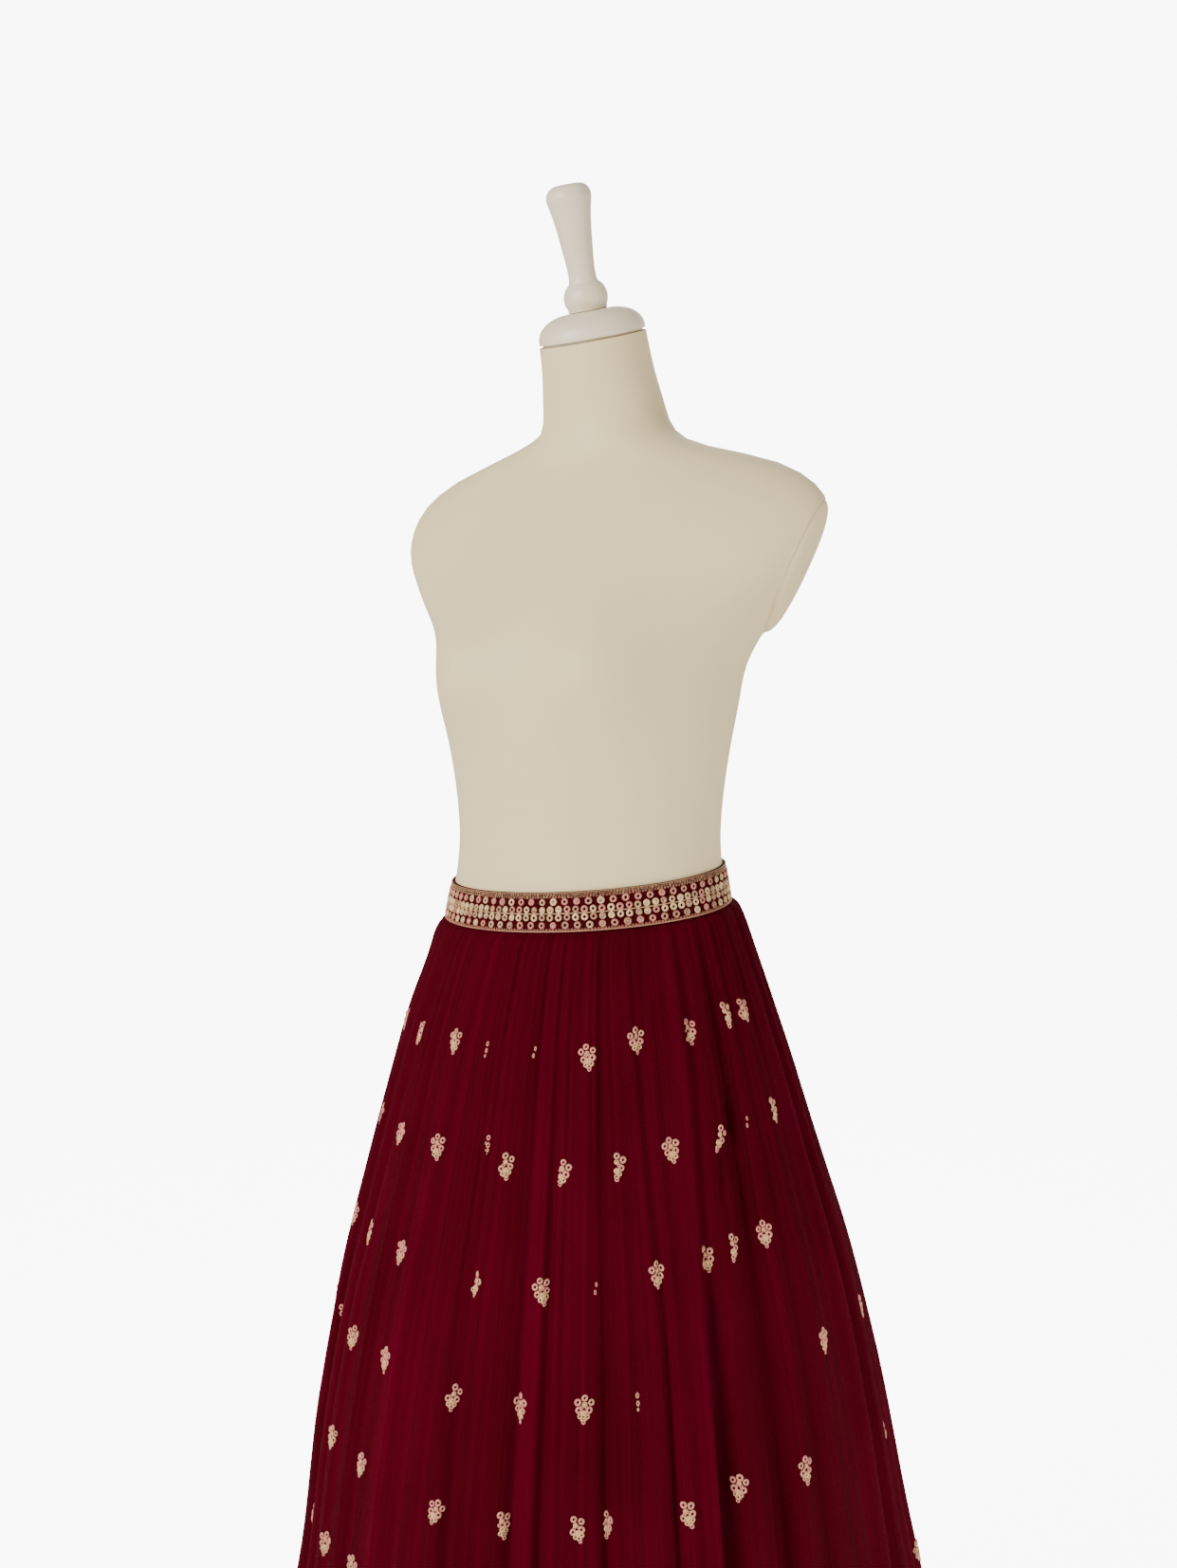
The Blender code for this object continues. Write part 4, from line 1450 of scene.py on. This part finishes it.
@dataclass
class Waistband:
    """The straight band: its maroon ground, corded edges, rows of loops and beads."""

    form: FormShape
    waist: WaistLine
    loops: Loops
    clear: float = 0.0004
    thick: float = 0.0022
    soft_edge: float = 0.0006
    closure_gap: float = 0.0003
    columns: int = 480
    cord_steps: int = 1100
    cord_sides: int = 5
    cord_twist: float = 0.16

    CORDS = ((0.0005, 0.00040, 0.50), (0.0167, 0.00045, 0.75), (0.0307, 0.00058, 0.30))
    ROWS = [BandRow(*row) for row in (
        (1.9, 296, 0.68, 0.0003, (0.35, 0.5, 0.6, 0.75)),
        (3.8, 270, 0.72, 0.0003, (0.2, 0.4, 0.6, 0.8)),
        (7.5, 72, 2.00, 0.0004, (0.0, 0.1, 0.2, 0.85), 0.80, 0.25),
        (13.6, 100, 1.95, 0.0006, (0.1, 0.45, 0.6, 0.85, 1.0, 1.0), 1.00, 0.35),
        (16.7, 100, 0.55, 0.0006, (0.8, 1.0), 0.70, 0.60),
        (19.8, 100, 1.95, 0.0006, (0.1, 0.45, 0.6, 0.85, 1.0, 1.0), 1.00, 0.35),
        (25.9, 72, 2.00, 0.0004, (0.0, 0.2, 0.45, 0.85, 1.0), 0.90, 0.40),
        (29.4, 270, 0.70, 0.0003, (0.0, 0.2, 0.5)),
    )]

    def __post_init__(self) -> None:
        """Measure the line that the band follows."""
        self.surface = self.clear + self.thick
        self.path = BandPath(self.form, self.waist, self.surface)

    def ground(self) -> Item:
        """Make the band's maroon ground as a closed wall with soft edges, open where it closes."""
        height, top, edge = self.waist.height, self.thick, self.soft_edge
        outline = [(0.0, 0.0), (0.0, top * 0.7), (edge, top), (height / 3, top), (height * 2 / 3, top),
                   (height - edge, top), (height, top * 0.7), (height, 0.0), (height / 2, 0.0)]
        along = np.linspace(0.0, self.path.length - self.closure_gap, self.columns)
        points = [self.path.at_length(along, np.full_like(along, below), self.clear + out)
                  for below, out in outline]
        faces = grid_faces(self.columns, len(outline), closed=True)[:, ::-1]
        item = Bench.sheet("waistband_ground", np.stack(points, axis=1).reshape(-1, 3), faces.tolist())
        Bench.add_map(item, *np.meshgrid(along, [-below for below, _ in outline], indexing="ij"))
        Bench.pick(item)
        bpy.ops.object.mode_set(mode="EDIT")
        bpy.ops.mesh.select_all(action="DESELECT")
        bpy.ops.mesh.select_mode(type="EDGE")
        bpy.ops.mesh.select_non_manifold()
        bpy.ops.mesh.edge_face_add()
        Bench.close_up()
        Bench.smooth(item)
        return item

    def cords(self) -> Item:
        """Lay the twisted cords along both edges and between the middle rows."""
        trim, count, sides = Trim(7), self.cord_steps, self.cord_sides
        along = np.repeat((np.arange(count) / count * self.path.length)[:, None], sides, axis=1)
        turn = np.arange(sides) / sides * 2 * np.pi
        twist = 1.0 + self.cord_twist * np.sin(np.arange(count) * 2 * np.pi / 3.1)
        faces = grid_faces(count + 1, sides, closed=True) % (count * sides)
        for below, radius, tone in self.CORDS:
            size = (radius * twist)[:, None]
            points = self.path.at_length(along, below + size * np.cos(turn),
                                         self.surface + 0.5 * radius + size * np.sin(turn))
            trim.add(points.reshape(-1, 3), faces.tolist(), tone)
        return trim.make("waistband_cords")

    def rows(self) -> tuple[Item, Item]:
        """Sew the rows of loops, and the beads on them."""
        rings, beads = Trim(11), Trim(12)
        for row in self.ROWS:
            shape = self.loops.ring if row.radius > 1.0 else self.loops.small_ring
            for i in range(row.units):
                at, tone = (i + 0.5) / row.units, float(rings.chance.choice(row.tones))
                self._sew(rings, shape, at, row.below, row.radius, tone, row.rise)
                if beads.chance.uniform() < row.bead_share:
                    self._sew(beads, self.loops.bead, at, row.below, row.bead, tone, row.rise + 0.0002)
        return rings.make("waistband_loops"), beads.make("waistband_beads")

    def _sew(self, trim: Trim, shape: Shape, at: float, below: float, radius: float, tone: float,
             rise: float) -> None:
        """Sew one small shape onto the band.

        Args:
            trim: what gathers the copies.
            shape: the shape's points and faces.
            at: its place as a share of the band's length.
            below: its place under the top edge, in millimetres.
            radius: its radius in millimetres.
            tone: its share of gold against pink.
            rise: how far it stands out of the ground.
        """
        points, faces = shape
        size = radius * trim.chance.uniform(0.93, 1.07) * MILLIMETRE
        shift = trim.chance.uniform(-0.2, 0.2, 2) * MILLIMETRE
        along = at * self.path.length + points[:, 0] * size + shift[0]
        down = below * MILLIMETRE - points[:, 1] * size + shift[1]
        placed = self.path.at_length(along, down, self.surface + rise + points[:, 2] * size)
        trim.add(placed, faces, tone + trim.chance.uniform(-0.12, 0.12))

    def build(self, silk: Material, thread: Material, pearl: Material) -> None:
        """Make the band's pieces and dress them.

        Args:
            silk: the ground's material.
            thread: the material of cords and loops.
            pearl: the beads' material.
        """
        strip, cords = self.ground(), self.cords()
        rings, beads = self.rows()
        dress(strip, silk, Slot.BAND, "waistband")
        for item, material in ((cords, thread), (rings, thread), (beads, pearl)):
            dress(item, material, Slot.BAND)


@dataclass
class Studio:
    """The pale floor and backdrop, the soft lights and the camera."""

    distance: float = 1.27
    height: float = 1.20
    pitch: float = math.radians(3.0)
    azimuth: float = math.radians(33.0)
    focal_pixels: float = 1560.0
    frame_height: float = 1653.0
    sensor: float = 36.0
    ambient: float = 0.52
    backdrop: float = 9.0
    floor_radius: float = 9.0

    BLACK = (0.0, 0.0, 0.0)
    FLOOR = (0.90, 0.90, 0.90)
    WHITE = (1.0, 1.0, 1.0)
    AIM_HEIGHT = 0.95

    def camera(self) -> None:
        """Place the camera level with the form's waist, to its left of front."""
        bpy.ops.object.camera_add(rotation=(math.pi / 2 - self.pitch, 0.0, self.azimuth), location=(
            self.distance * math.sin(self.azimuth), -self.distance * math.cos(self.azimuth), self.height))
        camera = bpy.context.object
        camera.data.sensor_width = self.sensor
        camera.data.lens = self.focal_pixels / self.frame_height * self.sensor
        bpy.context.scene.camera = camera

    def light(self, name: str, azimuth: float, height: float, distance: float, size: float,
              power: float, aim_height: float = AIM_HEIGHT) -> None:
        """Hang one soft white light that faces the form's axis.

        Args:
            name: the light's name.
            azimuth: degrees from the front towards the wearer's left.
            height: metres over the floor.
            distance: metres from the form's axis.
            size: edge of the square light.
            power: its power in watts.
            aim_height: how high on the axis it aims.
        """
        turn = math.radians(azimuth)
        spot = Vector((distance * math.sin(turn), -distance * math.cos(turn), height))
        aim = (Vector((0.0, 0.0, aim_height)) - spot).to_track_quat("-Z", "Y").to_euler()
        bpy.ops.object.light_add(type="AREA", location=spot, rotation=aim)
        light = bpy.context.object
        light.name = name
        light.data.size = size
        light.data.energy = power

    def floor(self) -> None:
        """Lay the pale floor, as bright to the camera as what surrounds it."""
        Bench.pick()
        bpy.ops.mesh.primitive_circle_add(vertices=128, radius=self.floor_radius, fill_type="NGON")
        floor = bpy.context.object
        floor.name = "floor"
        material = bpy.data.materials.new("stage_white")
        material.use_nodes = True
        graph = Graph(material.node_tree)
        seen = graph.node("ShaderNodeLightPath").outputs["Is Camera Ray"]
        shader = material.node_tree.nodes["Principled BSDF"]
        for socket, value in (("Base Color", self.FLOOR), ("Roughness", 0.9),
                              ("Emission Color", graph.mix(seen, self.BLACK, self.WHITE)),
                              ("Emission Strength", self.backdrop - self.ambient)):
            graph.feed(shader.inputs[socket], value)
        floor.data.materials.append(material)

    def world(self) -> None:
        """Surround everything with even white light, brighter where the camera sees it bare."""
        world = bpy.data.worlds.new("studio")
        world.use_nodes = True
        graph, nodes = Graph(world.node_tree), world.node_tree.nodes
        even, bright = nodes["Background"], graph.node("ShaderNodeBackground")
        for background, strength in ((even, self.ambient), (bright, self.backdrop)):
            graph.feed(background.inputs["Color"], self.WHITE)
            graph.feed(background.inputs["Strength"], strength)
        seen = graph.node("ShaderNodeLightPath").outputs["Is Camera Ray"]
        both = graph.node("ShaderNodeMixShader", None, {0: seen, 1: even.outputs[0], 2: bright.outputs[0]})
        graph.feed(nodes["World Output"].inputs["Surface"], both.outputs[0])
        bpy.context.scene.world = world

    def build(self) -> None:
        """Set up the floor, the lights and the camera."""
        self.camera()
        self.floor()
        self.world()
        self.light("key", -16.0, 2.0, 2.6, 1.3, 106.0)
        self.light("low_fill", 92.0, 0.55, 2.2, 1.2, 34.0, 0.45)
        self.light("back", 200.0, 2.3, 2.6, 1.4, 28.0)


FINISHES = (
    # each georgette's two tones are mixed along its crinkles as painted light and shade, and at random by the
    # mottle
    Georgette("maroon_georgette", (0.092, 0.0004, 0.0085), (0.036, 0.0002, 0.0016), 0.80, 0.0007),
    Georgette("band_ground_silk", (0.060, 0.0012, 0.0050), (0.030, 0.0006, 0.0020), 0.70, 0.0001),
    MetalThread("zari_thread", (0.66, 0.23, 0.15), (0.31, 0.18, 0.09), (0.90, 0.63, 0.29), 0.20, 0.36),
    MetalThread("petal_thread", (0.78, 0.27, 0.21), (0.66, 0.34, 0.18), (0.84, 0.54, 0.22), 0.20, 0.36),
    MetalThread("pale_beads", (0.92, 0.52, 0.42), (0.60, 0.42, 0.22), (0.97, 0.78, 0.44), 0.35, 0.18),
    Jersey("cream_jersey", (0.81, 0.65, 0.34), (0.74, 0.585, 0.30), 0.60),
    SatinPaint("cream_trim", (0.80, 0.69, 0.48), (0.75, 0.64, 0.44), 0.40, 0.08),
    SatinPaint("cream_stand", (0.72, 0.60, 0.40), (0.66, 0.55, 0.36), 0.42, 0.08),
)


def main() -> None:
    """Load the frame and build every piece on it."""
    logging.basicConfig(level=logging.INFO, format="%(name)s: %(message)s")
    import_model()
    groups = SharedNodes()
    georgette, silk, thread, petals, pearl, jersey, trim, paint = (
        finish.build(groups) for finish in FINISHES)
    waist, form, loops = WaistLine(), FormShape(), Loops()
    body = DressForm(form)
    body.build(jersey, trim)
    Stand(form.bottom - body.gap).build(paint)
    Skirt(SkirtShape(waist)).build(Buttis(loops), georgette, petals)
    Waistband(form, waist, loops).build(silk, thread, pearl)
    Studio().build()


if __name__ == "__main__":
    main()
